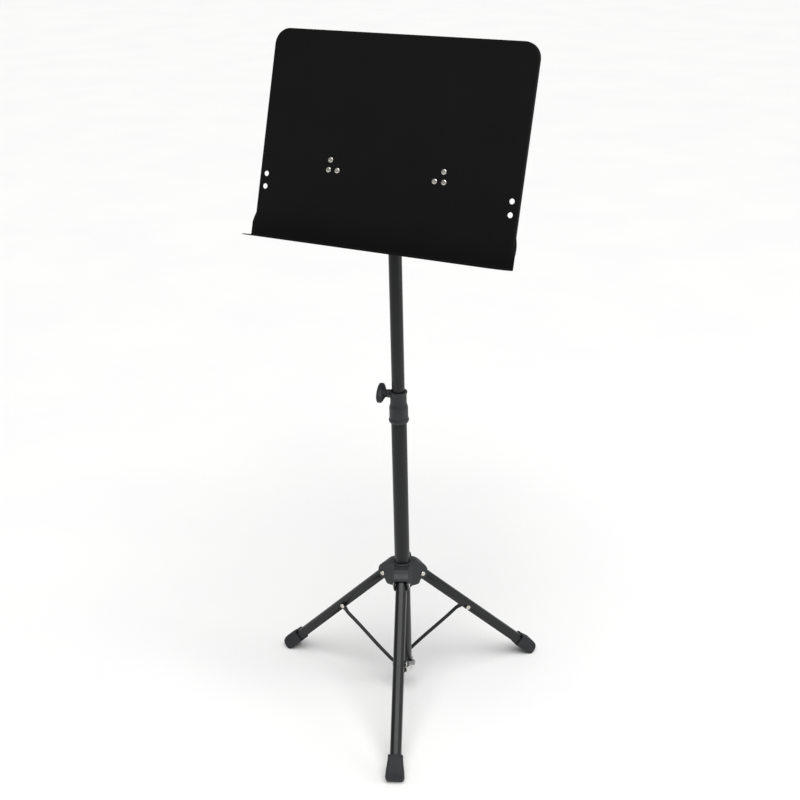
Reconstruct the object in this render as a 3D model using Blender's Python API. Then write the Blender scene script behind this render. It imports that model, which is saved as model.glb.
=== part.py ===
"""Folding music stand with a solid sheet-steel desk.

Frame: metres, +Z up, floor at z = 0.  The desk faces -Y and +X is the reader's right.
The origin lies under the middle of the whole stand's box, so the column stands a little off it.
Every dimension below is in millimetres, and MM turns it into metres.
"""

import math

import bmesh
import bpy
from mathutils import Matrix, Vector

MM = 0.001
GAP = 0.3  # clearance between pieces that touch on the real stand

# ---------------------------------------------------------------- driving dimensions
COLUMN_X = 21.7
COLUMN_Y = 12.5

# column tubes
OUTER_TUBE_R = 14.0
OUTER_TUBE_WALL = 1.2
OUTER_TUBE_BOTTOM = 62.0
OUTER_TUBE_TOP = 598.0
INNER_TUBE_R = 11.5
INNER_TUBE_WALL = 1.2
INNER_TUBE_BOTTOM = 300.0
INNER_TUBE_TOP = 985.5

# height clamp
COLLAR_BOTTOM = 566.0
COLLAR_TOP = 626.2
HEIGHT_SCREW_Z = 620.0
HEIGHT_SCREW_AZIMUTH = 195.0
HEIGHT_KNOB_TURN = 54.0

# tripod
LEG_AZIMUTHS = (-65.5, 54.5, 174.5)
LEG_SLOPE = 45.0  # below horizontal when spread
LEG_PIVOT_R = 35.8
LEG_PIVOT_Z = 252.4
LEG_WIDTH = 20.0
LEG_DEPTH = 19.0
LEG_WALL = 1.5
LEG_CORNER_R = 8.0
LEG_BACK_END = 8.0  # how far the leg reaches behind its pivot
LEG_LENGTH = 338.0  # pivot to the steel's lower end
BOOT_START = 306.0
BOOT_END = 351.0
STRUT_ON_LEG_ALONG = 144.5
STRUT_ON_LEG_BELOW = 4.9
STRUT_PIN_R = -8.0  # the strut passes beside the tube and is pinned just beyond it
STRUT_PIN_Z = 53.5
STRUT_ROD_R = 3.4
STRUT_ROD_ASIDE = 14.5  # how far the rod's middle lies beside the leg's centre plane
STRUT_PAST_TUBE = 0.8  # and how much further out it runs where it passes the tube
STRUT_EYE_R = 5.5
STRUT_EYE_THICKNESS = 2.8
STRUT_EYE_HALF_HEIGHT = 3.6

# sliding leg hub
HUB_BORE_R = 14.3
HUB_SLEEVE_R = 19.0
HUB_BOTTOM = 232.0
HUB_TOP = 284.0
HUB_HOUSING_WIDTH = 28.0
HUB_SCREW_Z = 262.0
HUB_SCREW_AZIMUTH = 114.5
HUB_KNOB_TURN = 30.0

# spreader bracket under the tube
BRACKET_BOTTOM = 48.5
BRACKET_TOP = 61.5
BRACKET_WALL = 2.0
BRACKET_STRUT_FACE = 15.5
BRACKET_END_FACE = 16.5

# desk, in its own frame: u right, v up the panel from its bottom edge
DESK_WIDTH = 482.0
DESK_HEIGHT = 350.0
DESK_SHEET = 1.2
DESK_CORNER_R = 27.0
DESK_RIM = 7.8
DESK_FLARE = 4.5  # the rim's width where it lies flat
DESK_LEDGE = 47.0
DESK_LEDGE_CORNER_R = 28.0
DESK_LEAN = 18.0
RIM_FLAT_UP_TO = 21.0  # below this the rim lies flat and widens the panel
RIM_FOLDED_FROM = 50.0
HANG_HOLE_R = 4.5
HANG_HOLES = ((228.2, 105.5), (228.2, 84.1))
TILT_AXIS_Z = 1016.0
PANEL_AHEAD_OF_AXIS = 27.0
AXIS_UP_THE_PANEL = 131.0
BRACKET_RIVETS = ((105.2, 139.4), (107.3, 122.9), (90.5, 122.9))
BAR_R = 5.0
BAR_LENGTH = 184.0
EAR_PLANE_U = 84.5
EAR_SHEET = 1.8
TILT_SCREW_Z = 1002.0
JAW_HALF_DEPTH = 11.5

# fasteners
SCREW_R = 2.9
SCREW_HOLE_R = 3.2
SCREW_BORE_R = 5.6  # bore for the shoe and the threaded insert
SHOE_R = 5.0
INSERT_R = 5.3
RIVET_SHANK_R = 2.0
RIVET_HOLE_R = 2.3
PIVOT_SHANK_R = 3.0
PIVOT_HOLE_R = 3.4

# wing knobs
KNOB_LENGTH = 18.0
KNOB_WING = 8.5  # how far the wings reach beyond the body

# facets in a full turn
TUBE_SIDES = 32
ROUND_SIDES = 24
KNOB_SIDES = 20
RIVET_SIDES = 10
DRILL_SIDES = 12
STRUT_SIDES = 8


# ---------------------------------------------------------------- small helpers
def clear_scene():
    for obj in list(bpy.data.objects):
        bpy.data.objects.remove(obj, do_unlink=True)


def principled(name, color, roughness, metallic):
    material = bpy.data.materials.new(name)
    material.use_nodes = True
    shader = material.node_tree.nodes["Principled BSDF"]
    shader.inputs["Base Color"].default_value = (*color, 1.0)
    shader.inputs["Roughness"].default_value = roughness
    shader.inputs["Metallic"].default_value = metallic
    return material


def empty(name, location, rotation=(0, 0, 0), parent=None):
    """An axis marker.  location is in millimetres and rotation in degrees."""
    marker = bpy.data.objects.new(name, None)
    bpy.context.scene.collection.objects.link(marker)
    marker.parent = parent
    marker.location = Vector(location) * MM
    marker.rotation_euler = [math.radians(angle) for angle in rotation]
    return marker


def to_mesh(bm, name):
    bmesh.ops.scale(bm, vec=(MM, MM, MM), verts=bm.verts)
    bmesh.ops.recalc_face_normals(bm, faces=bm.faces)
    mesh = bpy.data.meshes.new(name)
    bm.to_mesh(mesh)
    bm.free()
    mesh.shade_smooth()
    mesh.set_sharp_from_angle(angle=math.radians(32))
    return mesh


def piece(name, mesh, material, parent):
    obj = bpy.data.objects.new(name, mesh)
    bpy.context.scene.collection.objects.link(obj)
    obj.parent = parent
    if not mesh.materials:
        mesh.materials.append(material)
    return obj


def helper(name, mesh, parent):
    """A cutter or a shape to be joined: it is no part of the model itself."""
    obj = bpy.data.objects.new(name, mesh)
    bpy.context.scene.collection.objects.link(obj)
    obj.parent = parent
    obj.hide_render = True
    obj.display_type = "WIRE"
    return obj


def boolean(obj, operation, other):
    modifier = obj.modifiers.new(f"{operation} {other.name}", "BOOLEAN")
    modifier.operation = operation
    modifier.solver = "EXACT"
    modifier.object = other


def loft(rings, closed=False):
    """A solid through rings of points.  closed joins the last ring to the first."""
    bm = bmesh.new()
    loops = [[bm.verts.new(point) for point in ring] for ring in rings]
    count = len(loops[0])
    pairs = list(zip(loops, loops[1:]))
    if closed:
        pairs.append((loops[-1], loops[0]))
    for first, second in pairs:
        for i in range(count):
            j = (i + 1) % count
            bm.faces.new((first[i], first[j], second[j], second[i]))
    if not closed:
        bm.faces.new(loops[0])
        bm.faces.new(loops[-1])
    return bm


def circle(radius, z, segments):
    steps = [math.tau * i / segments for i in range(segments)]
    return [Vector((radius * math.cos(a), radius * math.sin(a), z)) for a in steps]


def turned(profile, segments=ROUND_SIDES):
    """A solid turned about Z through (radius, z) points from one end to the other."""
    return loft([circle(radius, z, segments) for radius, z in profile])


def turned_tube(profile, segments=TUBE_SIDES):
    """A hollow turned piece from a closed (radius, z) outline that stays off the axis."""
    rings = []
    for i in range(segments):
        angle = math.tau * i / segments
        rings.append([Vector((r * math.cos(angle), r * math.sin(angle), z)) for r, z in profile])
    return loft(rings, closed=True)


def prism(outline, low, high, plane="XY"):
    """An outline extruded from low to high along the axis that plane leaves out."""
    place = {
        "XY": lambda a, b, h: Vector((a, b, h)),
        "XZ": lambda a, b, h: Vector((a, h, b)),
        "YZ": lambda a, b, h: Vector((h, a, b)),
    }[plane]
    return loft([[place(a, b, h) for a, b in outline] for h in (low, high)])


def along(bm, axis):
    """Turn a piece made about Z so that it lies along X or Y."""
    turn = {"X": Matrix.Rotation(math.pi / 2, 3, "Y"), "Y": Matrix.Rotation(-math.pi / 2, 3, "X")}
    bmesh.ops.rotate(bm, verts=bm.verts, cent=(0, 0, 0), matrix=turn[axis])
    return bm


def moved(bm, x=0.0, y=0.0, z=0.0):
    bmesh.ops.translate(bm, verts=bm.verts, vec=(x, y, z))
    return bm


def arc(centre, radius, start, end, steps):
    """Points on an arc between two angles in degrees, both ends included."""
    angles = [math.radians(start + (end - start) * i / steps) for i in range(steps + 1)]
    return [(centre[0] + radius * math.cos(a), centre[1] + radius * math.sin(a)) for a in angles]


def merged(parts):
    """One mesh out of several that do not touch, for a cutter."""
    whole = bmesh.new()
    for part in parts:
        scratch = bpy.data.meshes.new("scratch")
        part.to_mesh(scratch)
        part.free()
        whole.from_mesh(scratch)
        bpy.data.meshes.remove(scratch)
    return whole


def dome_rivet(head_r, head_height, shank_r, low, high, foot_r=0.0, foot_height=0.0):
    """A rivet about Z: a shank from low to high, a domed head above it and a foot below."""
    profile = []
    if foot_r:
        profile += [(foot_r * 0.6, low - foot_height), (foot_r, low)]
    profile += [(shank_r, low), (shank_r, high), (head_r, high)]
    profile += [(head_r * 0.85, high + head_height * 0.7), (head_r * 0.4, high + head_height)]
    return turned(profile, RIVET_SIDES)


def wing_knob(reach):
    """A two-winged clamping knob on the X axis.  reach is where its outer end lies."""
    stations = (
        (0.0, 7.0, 0.0),
        (3.0, 7.8, 0.25),
        (5.5, 9.0, 0.85),
        (8.5, 11.0, 1.0),
        (14.0, 11.0, 1.0),
        (16.5, 9.0, 0.8),
        (KNOB_LENGTH, 4.0, 0.3),
    )
    rings = []
    for x, radius, wing in stations:
        ring = []
        for i in range(KNOB_SIDES):
            angle = math.tau * i / KNOB_SIDES
            swell = (0.5 + 0.5 * math.cos(2 * angle)) ** 1.6
            r = radius + wing * KNOB_WING * swell
            ring.append(Vector((reach - KNOB_LENGTH + x, r * math.sin(angle), r * math.cos(angle))))
        rings.append(ring)
    return loft(rings)


# ---------------------------------------------------------------- materials
def make_materials():
    return {
        "desk": principled("desk_paint", (0.003, 0.0033, 0.003), 0.62, 0.0),
        "tube": principled("tube_paint", (0.008, 0.0082, 0.0085), 0.48, 0.0),
        "plastic": principled("black_plastic", (0.0125, 0.013, 0.0138), 0.5, 0.0),
        "rubber": principled("boot_rubber", (0.0155, 0.0155, 0.0165), 0.7, 0.0),
        "zinc": principled("zinc_plate", (0.7, 0.7, 0.69), 0.35, 1.0),
        "steel": principled("rivet_steel", (0.62, 0.61, 0.58), 0.3, 1.0),
        "brass": principled("brass", (0.72, 0.52, 0.24), 0.35, 1.0),
    }


# ---------------------------------------------------------------- column
def build_column(mats, column):
    inside = OUTER_TUBE_R - OUTER_TUBE_WALL
    tube = [
        (OUTER_TUBE_R, OUTER_TUBE_BOTTOM),
        (OUTER_TUBE_R, OUTER_TUBE_TOP),
        (inside, OUTER_TUBE_TOP),
        (inside, OUTER_TUBE_BOTTOM),
    ]
    piece("outer_tube", to_mesh(turned_tube(tube), "outer_tube"), mats["tube"], column)

    plug_r = inside - GAP
    plug = [(plug_r, OUTER_TUBE_BOTTOM + GAP), (plug_r, 82.0), (plug_r - 1.0, 84.0)]
    plug_piece = piece("tube_plug", to_mesh(turned(plug), "tube_plug"), mats["plastic"], column)
    thread = turned([(2.6, 55.0), (2.6, 80.0)], DRILL_SIDES)
    boolean(plug_piece, "DIFFERENCE", helper("plug_thread", to_mesh(thread, "plug_thread"), column))

    build_collar(mats, column)
    build_spreader_bracket(mats, column)


def build_collar(mats, column):
    """The clamp collar sits on the outer tube and its screw presses a shoe on the inner one."""
    tube_r = OUTER_TUBE_R + GAP
    slide_r = INNER_TUBE_R + GAP
    shoulder = OUTER_TUBE_TOP + GAP
    profile = [
        (15.4, COLLAR_BOTTOM),
        (18.2, 570.5),
        (18.2, 573.0),
        (16.8, 576.0),
        (16.8, 596.0),
        (14.7, 603.0),
        (14.7, 621.2),
        (16.0, 622.3),
        (16.0, COLLAR_TOP),
        (slide_r, COLLAR_TOP),
        (slide_r, shoulder),
        (tube_r, shoulder),
        (tube_r, COLLAR_BOTTOM),
    ]
    collar = piece("clamp_collar", to_mesh(turned_tube(profile), "clamp_collar"), mats["plastic"], column)

    screw_axis = empty("height_screw_axis", (0, 0, HEIGHT_SCREW_Z), (0, 0, HEIGHT_SCREW_AZIMUTH), column)
    boss = along(turned([(7.5, 12.6), (7.5, 19.5), (6.9, 20.5)]), "X")
    boolean(collar, "UNION", helper("collar_boss", to_mesh(boss, "collar_boss"), screw_axis))
    bore = along(turned([(SCREW_BORE_R, 6.0), (SCREW_BORE_R, 30.0)], DRILL_SIDES), "X")
    boolean(collar, "DIFFERENCE", helper("collar_boss_bore", to_mesh(bore, "collar_boss_bore"), screw_axis))

    build_clamp_screw(mats, screw_axis, "height", INNER_TUBE_R, 20.5, 39.0, HEIGHT_KNOB_TURN)


def build_clamp_screw(mats, screw_axis, name, tube_r, boss_end, knob_end, turn):
    """Shoe, threaded insert, screw and knob along the X axis of screw_axis."""
    shoe_start = tube_r + GAP
    shoe = along(turned([(SHOE_R, shoe_start), (SHOE_R, shoe_start + 2.2)], KNOB_SIDES), "X")
    piece(f"{name}_shoe", to_mesh(shoe, f"{name}_shoe"), mats["plastic"], screw_axis)

    insert_start = shoe_start + 2.6
    insert = [
        (SCREW_HOLE_R, insert_start),
        (INSERT_R, insert_start),
        (INSERT_R, boss_end),
        (SCREW_HOLE_R, boss_end),
    ]
    insert_mesh = to_mesh(along(turned_tube(insert, DRILL_SIDES), "X"), f"{name}_insert")
    piece(f"{name}_insert", insert_mesh, mats["brass"], screw_axis)

    spin = empty(f"{name}_knob_axis", (0, 0, 0), (turn, 0, 0), screw_axis)
    screw_end = knob_end - 4.0
    screw = [(2.3, shoe_start + 2.5), (SCREW_R, shoe_start + 3.4), (SCREW_R, screw_end)]
    screw_mesh = to_mesh(along(turned(screw, DRILL_SIDES), "X"), f"{name}_screw")
    piece(f"{name}_screw", screw_mesh, mats["steel"], spin)

    knob = piece(f"{name}_knob", to_mesh(wing_knob(knob_end), f"{name}_knob"), mats["plastic"], spin)
    socket_walls = [(SCREW_HOLE_R, boss_end - 2.0), (SCREW_HOLE_R, screw_end + GAP)]
    socket = along(turned(socket_walls, DRILL_SIDES), "X")
    boolean(knob, "DIFFERENCE", helper(f"{name}_knob_socket", to_mesh(socket, f"{name}_knob_socket"), spin))


def direction(azimuth):
    angle = math.radians(azimuth)
    return Vector((math.cos(angle), math.sin(angle)))


def meeting_point(normal_a, distance_a, normal_b, distance_b):
    """Where two lines in the plane meet, each given by its normal and its distance."""
    cross = normal_a.x * normal_b.y - normal_a.y * normal_b.x
    x = (distance_a * normal_b.y - distance_b * normal_a.y) / cross
    y = (normal_a.x * distance_b - normal_b.x * distance_a) / cross
    return (x, y)


def bracket_outline(inset):
    """Six-sided outline: a face beside each strut, and an end face on the far side of each leg."""
    strut_face = BRACKET_STRUT_FACE - inset
    end_face = BRACKET_END_FACE - inset
    faces = []
    for azimuth in LEG_AZIMUTHS:
        faces.append((azimuth + 90.0, strut_face))
        faces.append((azimuth + 180.0, end_face))
    faces.sort(key=lambda face: face[0] % 360.0)
    corners = []
    for (angle_a, distance_a), (angle_b, distance_b) in zip(faces, faces[1:] + faces[:1]):
        corners.append(meeting_point(direction(angle_a), distance_a, direction(angle_b), distance_b))
    return corners


def build_spreader_bracket(mats, column):
    outer = prism(bracket_outline(0.0), BRACKET_BOTTOM, BRACKET_TOP)
    bracket = piece("spreader_bracket", to_mesh(outer, "spreader_bracket"), mats["zinc"], column)
    hollow = prism(bracket_outline(BRACKET_WALL), BRACKET_BOTTOM - 5.0, BRACKET_TOP - BRACKET_WALL)
    boolean(bracket, "DIFFERENCE", helper("bracket_hollow", to_mesh(hollow, "bracket_hollow"), column))
    screw_hole = turned([(2.7, 50.0), (2.7, 70.0)], DRILL_SIDES)
    boolean(bracket, "DIFFERENCE", helper("bracket_screw_hole", to_mesh(screw_hole, "screw_hole"), column))

    head_top = BRACKET_TOP - BRACKET_WALL - GAP
    screw = [(3.2, head_top - 3.6), (4.9, head_top - 2.8), (4.9, head_top), (2.3, head_top), (2.3, 78.0)]
    piece("bracket_screw", to_mesh(turned(screw, DRILL_SIDES), "bracket_screw"), mats["steel"], column)

    face_inside = BRACKET_STRUT_FACE - BRACKET_WALL
    eye_middle = BRACKET_STRUT_FACE + GAP + STRUT_EYE_THICKNESS / 2
    eye_outside = eye_middle + STRUT_EYE_THICKNESS / 2 + GAP
    for number, azimuth in enumerate(LEG_AZIMUTHS, start=1):
        pin_spot = direction(azimuth) * STRUT_PIN_R
        pin_axis = empty(f"strut_{number}_axis", (*pin_spot, STRUT_PIN_Z), (0, 0, azimuth), column)
        hole = along(turned([(RIVET_HOLE_R, 10.0), (RIVET_HOLE_R, 18.0)], DRILL_SIDES), "Y")
        cutter = helper(f"bracket_pin_hole_{number}", to_mesh(hole, f"bracket_pin_hole_{number}"), pin_axis)
        boolean(bracket, "DIFFERENCE", cutter)
        pin = dome_rivet(4.0, 1.5, RIVET_SHANK_R, face_inside - GAP, eye_outside, 3.2, 1.3)
        piece(f"strut_pin_{number}", to_mesh(along(pin, "Y"), f"strut_pin_{number}"), mats["steel"], pin_axis)
        build_strut(mats, pin_axis, number, eye_middle)


# ---------------------------------------------------------------- struts
def leg_point(along_leg, below):
    """Radius and height of a point on a spread leg: along it, and below its centre line."""
    slope = math.radians(LEG_SLOPE)
    radius = LEG_PIVOT_R + along_leg * math.cos(slope) - below * math.sin(slope)
    height = LEG_PIVOT_Z - along_leg * math.sin(slope) - below * math.cos(slope)
    return radius, height


def strut_span():
    """Length of a strut between its two pivots, and its rise above horizontal when spread."""
    radius, height = leg_point(STRUT_ON_LEG_ALONG, STRUT_ON_LEG_BELOW)
    run = radius - STRUT_PIN_R
    rise = height - STRUT_PIN_Z
    return math.hypot(run, rise), math.degrees(math.atan2(rise, run))


def blend(value, start, end):
    """0 before start, 1 after end, and a smooth step between them."""
    t = min(1.0, max(0.0, (value - start) / (end - start)))
    return t * t * (3 - 2 * t)


def strut_mesh(number, eye_middle):
    """A rod flattened to an eye at both ends, which leans in towards the leg's side."""
    length, _rise = strut_span()
    leg_eye_middle = LEG_WIDTH / 2 + GAP + STRUT_EYE_THICKNESS / 2
    flat = STRUT_EYE_THICKNESS / 2
    end_steps = (-1.0, -0.85, -0.45, 0.45)
    stations = [step * STRUT_EYE_R for step in end_steps]
    stations += [6.0, 11.0, 18.0, 25.0, 34.0, 50.0, 80.0, 142.0]
    stations += [length - x for x in (20.0, 16.0, 12.0, 8.0)]
    stations += [length - step * STRUT_EYE_R for step in reversed(end_steps)]
    rings = []
    for x in stations:
        from_end = min(x, length - x)
        round_share = blend(x, 18.0, 34.0) * blend(length - x, 8.0, 20.0)
        half_thick = flat + (STRUT_ROD_R - flat) * round_share
        if from_end < STRUT_EYE_R * 0.72:
            half_high = math.sqrt(max(STRUT_EYE_R**2 - from_end**2, 0.6))
        else:
            narrowing = blend(from_end, 9.0, 20.0)
            half_high = STRUT_EYE_HALF_HEIGHT + (STRUT_ROD_R - STRUT_EYE_HALF_HEIGHT) * narrowing
        middle = eye_middle + STRUT_PAST_TUBE * blend(x, 11.0, 34.0)
        middle += (STRUT_ROD_ASIDE - middle) * blend(x, 50.0, 142.0)
        middle += (leg_eye_middle - middle) * blend(x, length - 18.0, length - 6.0)
        power = 0.45 + 0.55 * round_share
        ring = []
        for i in range(STRUT_SIDES):
            angle = math.tau * (i + 0.5) / STRUT_SIDES
            c = math.cos(angle)
            s = math.sin(angle)
            y = middle + half_thick * math.copysign(abs(c) ** power, c)
            z = half_high * math.copysign(abs(s) ** power, s)
            ring.append(Vector((x, y, z)))
        rings.append(ring)
    return to_mesh(loft(rings), f"strut_{number}")


def build_strut(mats, pin_axis, number, eye_middle):
    length, rise = strut_span()
    line = empty(f"strut_{number}_line", (0, 0, 0), (0, -rise, 0), pin_axis)
    strut = piece(f"strut_{number}", strut_mesh(number, eye_middle), mats["tube"], line)
    holes = merged(
        [
            along(turned([(RIVET_HOLE_R, 8.0), (RIVET_HOLE_R, 24.0)], DRILL_SIDES), "Y"),
            moved(along(turned([(RIVET_HOLE_R, 8.0), (RIVET_HOLE_R, 24.0)], DRILL_SIDES), "Y"), x=length),
        ]
    )
    boolean(strut, "DIFFERENCE", helper(f"strut_{number}_holes", to_mesh(holes, "strut_holes"), line))

    eye_inside = LEG_WIDTH / 2 + GAP
    head = dome_rivet(4.5, 1.5, RIVET_SHANK_R, eye_inside, eye_inside + STRUT_EYE_THICKNESS + GAP)
    head_mesh = to_mesh(moved(along(head, "Y"), x=length), f"strut_rivet_head_{number}")
    piece(f"strut_rivet_head_{number}", head_mesh, mats["steel"], line)


# ---------------------------------------------------------------- leg hub
def housing_outline():
    """Side view of one leg housing, radius outwards and height upwards."""
    foot = HUB_BOTTOM + 0.6
    outline = [(12.0, foot), (24.0, foot), (27.4, 233.8), (29.2, 236.4), (30.2, 239.4), (31.6, 241.6)]
    outline += arc((LEG_PIVOT_R, LEG_PIVOT_Z), 10.0, -105.0, 0.0, 5)
    outline += [(45.0, 262.0), (41.5, 268.5), (36.0, 274.0), (28.0, 279.0), (20.0, 281.5)]
    outline.append((12.0, 282.0))
    return outline


def slot_outline():
    """The space inside a housing in which the leg swings, open below and outwards."""
    return [(22.0, 225.0), (60.0, 225.0), (60.0, 263.0), (43.0, 263.6), (41.0, 265.6), (22.0, 272.6)]


def build_hub(mats, hub):
    step = [
        (HUB_SLEEVE_R, HUB_BOTTOM),
        (HUB_SLEEVE_R, 277.0),
        (17.8, 278.5),
        (17.8, 281.0),
        (16.6, 282.2),
        (16.6, HUB_TOP),
    ]
    body = piece("leg_hub", to_mesh(turned(step, TUBE_SIDES), "leg_hub"), mats["plastic"], hub)
    half = HUB_HOUSING_WIDTH / 2
    slot_half = LEG_WIDTH / 2 + 0.4
    frames = []
    for number, azimuth in enumerate(LEG_AZIMUTHS, start=1):
        frame = empty(f"hub_housing_{number}_frame", (0, 0, 0), (0, 0, azimuth), hub)
        frames.append(frame)
        housing = prism(housing_outline(), -half, half, "XZ")
        boolean(body, "UNION", helper(f"hub_housing_{number}", to_mesh(housing, "hub_housing"), frame))

    screw_axis = empty("hub_screw_axis", (0, 0, HUB_SCREW_Z), (0, 0, HUB_SCREW_AZIMUTH), hub)
    boss = along(turned([(8.0, 15.0), (8.0, 26.0), (7.2, 27.0)]), "X")
    boolean(body, "UNION", helper("hub_boss", to_mesh(boss, "hub_boss"), screw_axis))

    bore = turned([(HUB_BORE_R, 220.0), (HUB_BORE_R, 300.0)], TUBE_SIDES)
    boolean(body, "DIFFERENCE", helper("hub_bore", to_mesh(bore, "hub_bore"), hub))
    for number, frame in enumerate(frames, start=1):
        slot = prism(slot_outline(), -slot_half, slot_half, "XZ")
        boolean(body, "DIFFERENCE", helper(f"hub_slot_{number}", to_mesh(slot, "hub_slot"), frame))
        hole = along(turned([(PIVOT_HOLE_R, -20.0), (PIVOT_HOLE_R, 20.0)], DRILL_SIDES), "Y")
        hole = moved(hole, x=LEG_PIVOT_R, z=LEG_PIVOT_Z)
        boolean(body, "DIFFERENCE", helper(f"hub_pivot_hole_{number}", to_mesh(hole, "pivot_hole"), frame))
    screw_bore = along(turned([(SCREW_BORE_R, 8.0), (SCREW_BORE_R, 40.0)], DRILL_SIDES), "X")
    boolean(body, "DIFFERENCE", helper("hub_screw_bore", to_mesh(screw_bore, "hub_screw_bore"), screw_axis))

    build_clamp_screw(mats, screw_axis, "hub", OUTER_TUBE_R, 27.0, 48.0, HUB_KNOB_TURN)

    for number, azimuth in enumerate(LEG_AZIMUTHS, start=1):
        pivot_spot = direction(azimuth) * LEG_PIVOT_R
        axis = empty(f"leg_{number}_axis", (*pivot_spot, LEG_PIVOT_Z), (0, 0, azimuth), hub)
        cheek = half + GAP
        rivet = dome_rivet(4.3, 1.7, PIVOT_SHANK_R, -cheek, cheek, 4.3, 1.4)
        piece(f"leg_pivot_{number}", to_mesh(along(rivet, "Y"), f"leg_pivot_{number}"), mats["steel"], axis)
        build_leg(mats, axis, number)


# ---------------------------------------------------------------- legs
def channel_section():
    """Upside-down channel of bent sheet, as (sideways, up) points."""
    half = LEG_WIDTH / 2
    low = -LEG_DEPTH / 2
    high = LEG_DEPTH / 2
    corner = LEG_CORNER_R
    inner = corner - LEG_WALL
    outer = arc((half - corner, high - corner), corner, 0.0, 90.0, 5)
    outer += arc((corner - half, high - corner), corner, 90.0, 180.0, 5)
    hollow = arc((corner - half, high - corner), inner, 180.0, 90.0, 4)
    hollow += arc((half - corner, high - corner), inner, 90.0, 0.0, 4)
    return (
        [(half, low)]
        + outer
        + [(-half, low), (LEG_WALL - half, low)]
        + hollow
        + [(half - LEG_WALL, low)]
    )


def rounded_box_ring(x, half_wide, low, high, corner):
    points = arc((half_wide - corner, high - corner), corner, 0.0, 90.0, 3)
    points += arc((corner - half_wide, high - corner), corner, 90.0, 180.0, 3)
    points += arc((corner - half_wide, low + corner), corner, 180.0, 270.0, 3)
    points += arc((half_wide - corner, low + corner), corner, 270.0, 360.0, 3)
    return [Vector((x, y, z)) for y, z in points]


def boot_mesh(number):
    """A tapered rubber shoe that widens towards the floor and is flat where it stands."""
    rings = [
        rounded_box_ring(BOOT_START, 12.6, -11.9, 11.9, 4.0),
        rounded_box_ring(BOOT_START + 1.0, 13.2, -12.5, 12.5, 4.5),
        rounded_box_ring(BOOT_START + 16.0, 14.4, -12.8, 13.6, 4.8),
        rounded_box_ring(BOOT_START + 30.0, 16.2, -12.8, 14.4, 5.0),
        rounded_box_ring(BOOT_END - 7.5, 17.0, -12.4, 12.8, 5.0),
        rounded_box_ring(BOOT_END - 2.5, 16.2, -11.0, 8.5, 4.5),
        rounded_box_ring(BOOT_END, 13.0, -8.6, 2.5, 3.5),
    ]
    bm = loft(rings)
    slope = math.radians(LEG_SLOPE)
    floor_normal = Vector((math.sin(slope), 0.0, -math.cos(slope)))
    floor_spot = floor_normal * LEG_PIVOT_Z
    everything = list(bm.verts) + list(bm.edges) + list(bm.faces)
    cut = bmesh.ops.bisect_plane(
        bm, geom=everything, dist=1e-5, plane_co=floor_spot, plane_no=floor_normal, clear_outer=True
    )
    rim = [item for item in cut["geom_cut"] if isinstance(item, bmesh.types.BMEdge)]
    bmesh.ops.contextual_create(bm, geom=rim)
    return to_mesh(bm, f"leg_boot_{number}")


def build_leg(mats, axis, number):
    line = empty(f"leg_{number}_line", (0, 0, 0), (0, LEG_SLOPE, 0), axis)
    section = channel_section()
    channel = loft([[Vector((x, y, z)) for y, z in section] for x in (-LEG_BACK_END, LEG_LENGTH)])
    leg = piece(f"leg_{number}", to_mesh(channel, f"leg_{number}"), mats["tube"], line)
    strut_hole = along(turned([(RIVET_HOLE_R, -20.0), (RIVET_HOLE_R, 20.0)], DRILL_SIDES), "Y")
    holes = merged(
        [
            along(turned([(PIVOT_HOLE_R, -20.0), (PIVOT_HOLE_R, 20.0)], DRILL_SIDES), "Y"),
            moved(strut_hole, x=STRUT_ON_LEG_ALONG, z=-STRUT_ON_LEG_BELOW),
        ]
    )
    boolean(leg, "DIFFERENCE", helper(f"leg_{number}_holes", to_mesh(holes, "leg_holes"), line))

    half = LEG_WIDTH / 2
    rivet = dome_rivet(4.5, 1.3, RIVET_SHANK_R, GAP - half, half + GAP)
    bmesh.ops.rotate(rivet, verts=rivet.verts, cent=(0, 0, 0), matrix=Matrix.Rotation(math.pi, 3, "X"))
    rivet = moved(along(rivet, "Y"), x=STRUT_ON_LEG_ALONG, z=-STRUT_ON_LEG_BELOW)
    piece(f"strut_rivet_{number}", to_mesh(rivet, f"strut_rivet_{number}"), mats["steel"], line)

    boot = piece(f"leg_boot_{number}", boot_mesh(number), mats["rubber"], line)
    room = LEG_DEPTH / 2 + GAP
    socket_outline = [(-half - GAP, -room), (half + GAP, -room), (half + GAP, room), (-half - GAP, room)]
    socket = prism(socket_outline, BOOT_START - 5.0, LEG_LENGTH + GAP, "YZ")
    boolean(boot, "DIFFERENCE", helper(f"boot_{number}_socket", to_mesh(socket, "boot_socket"), line))


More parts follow.
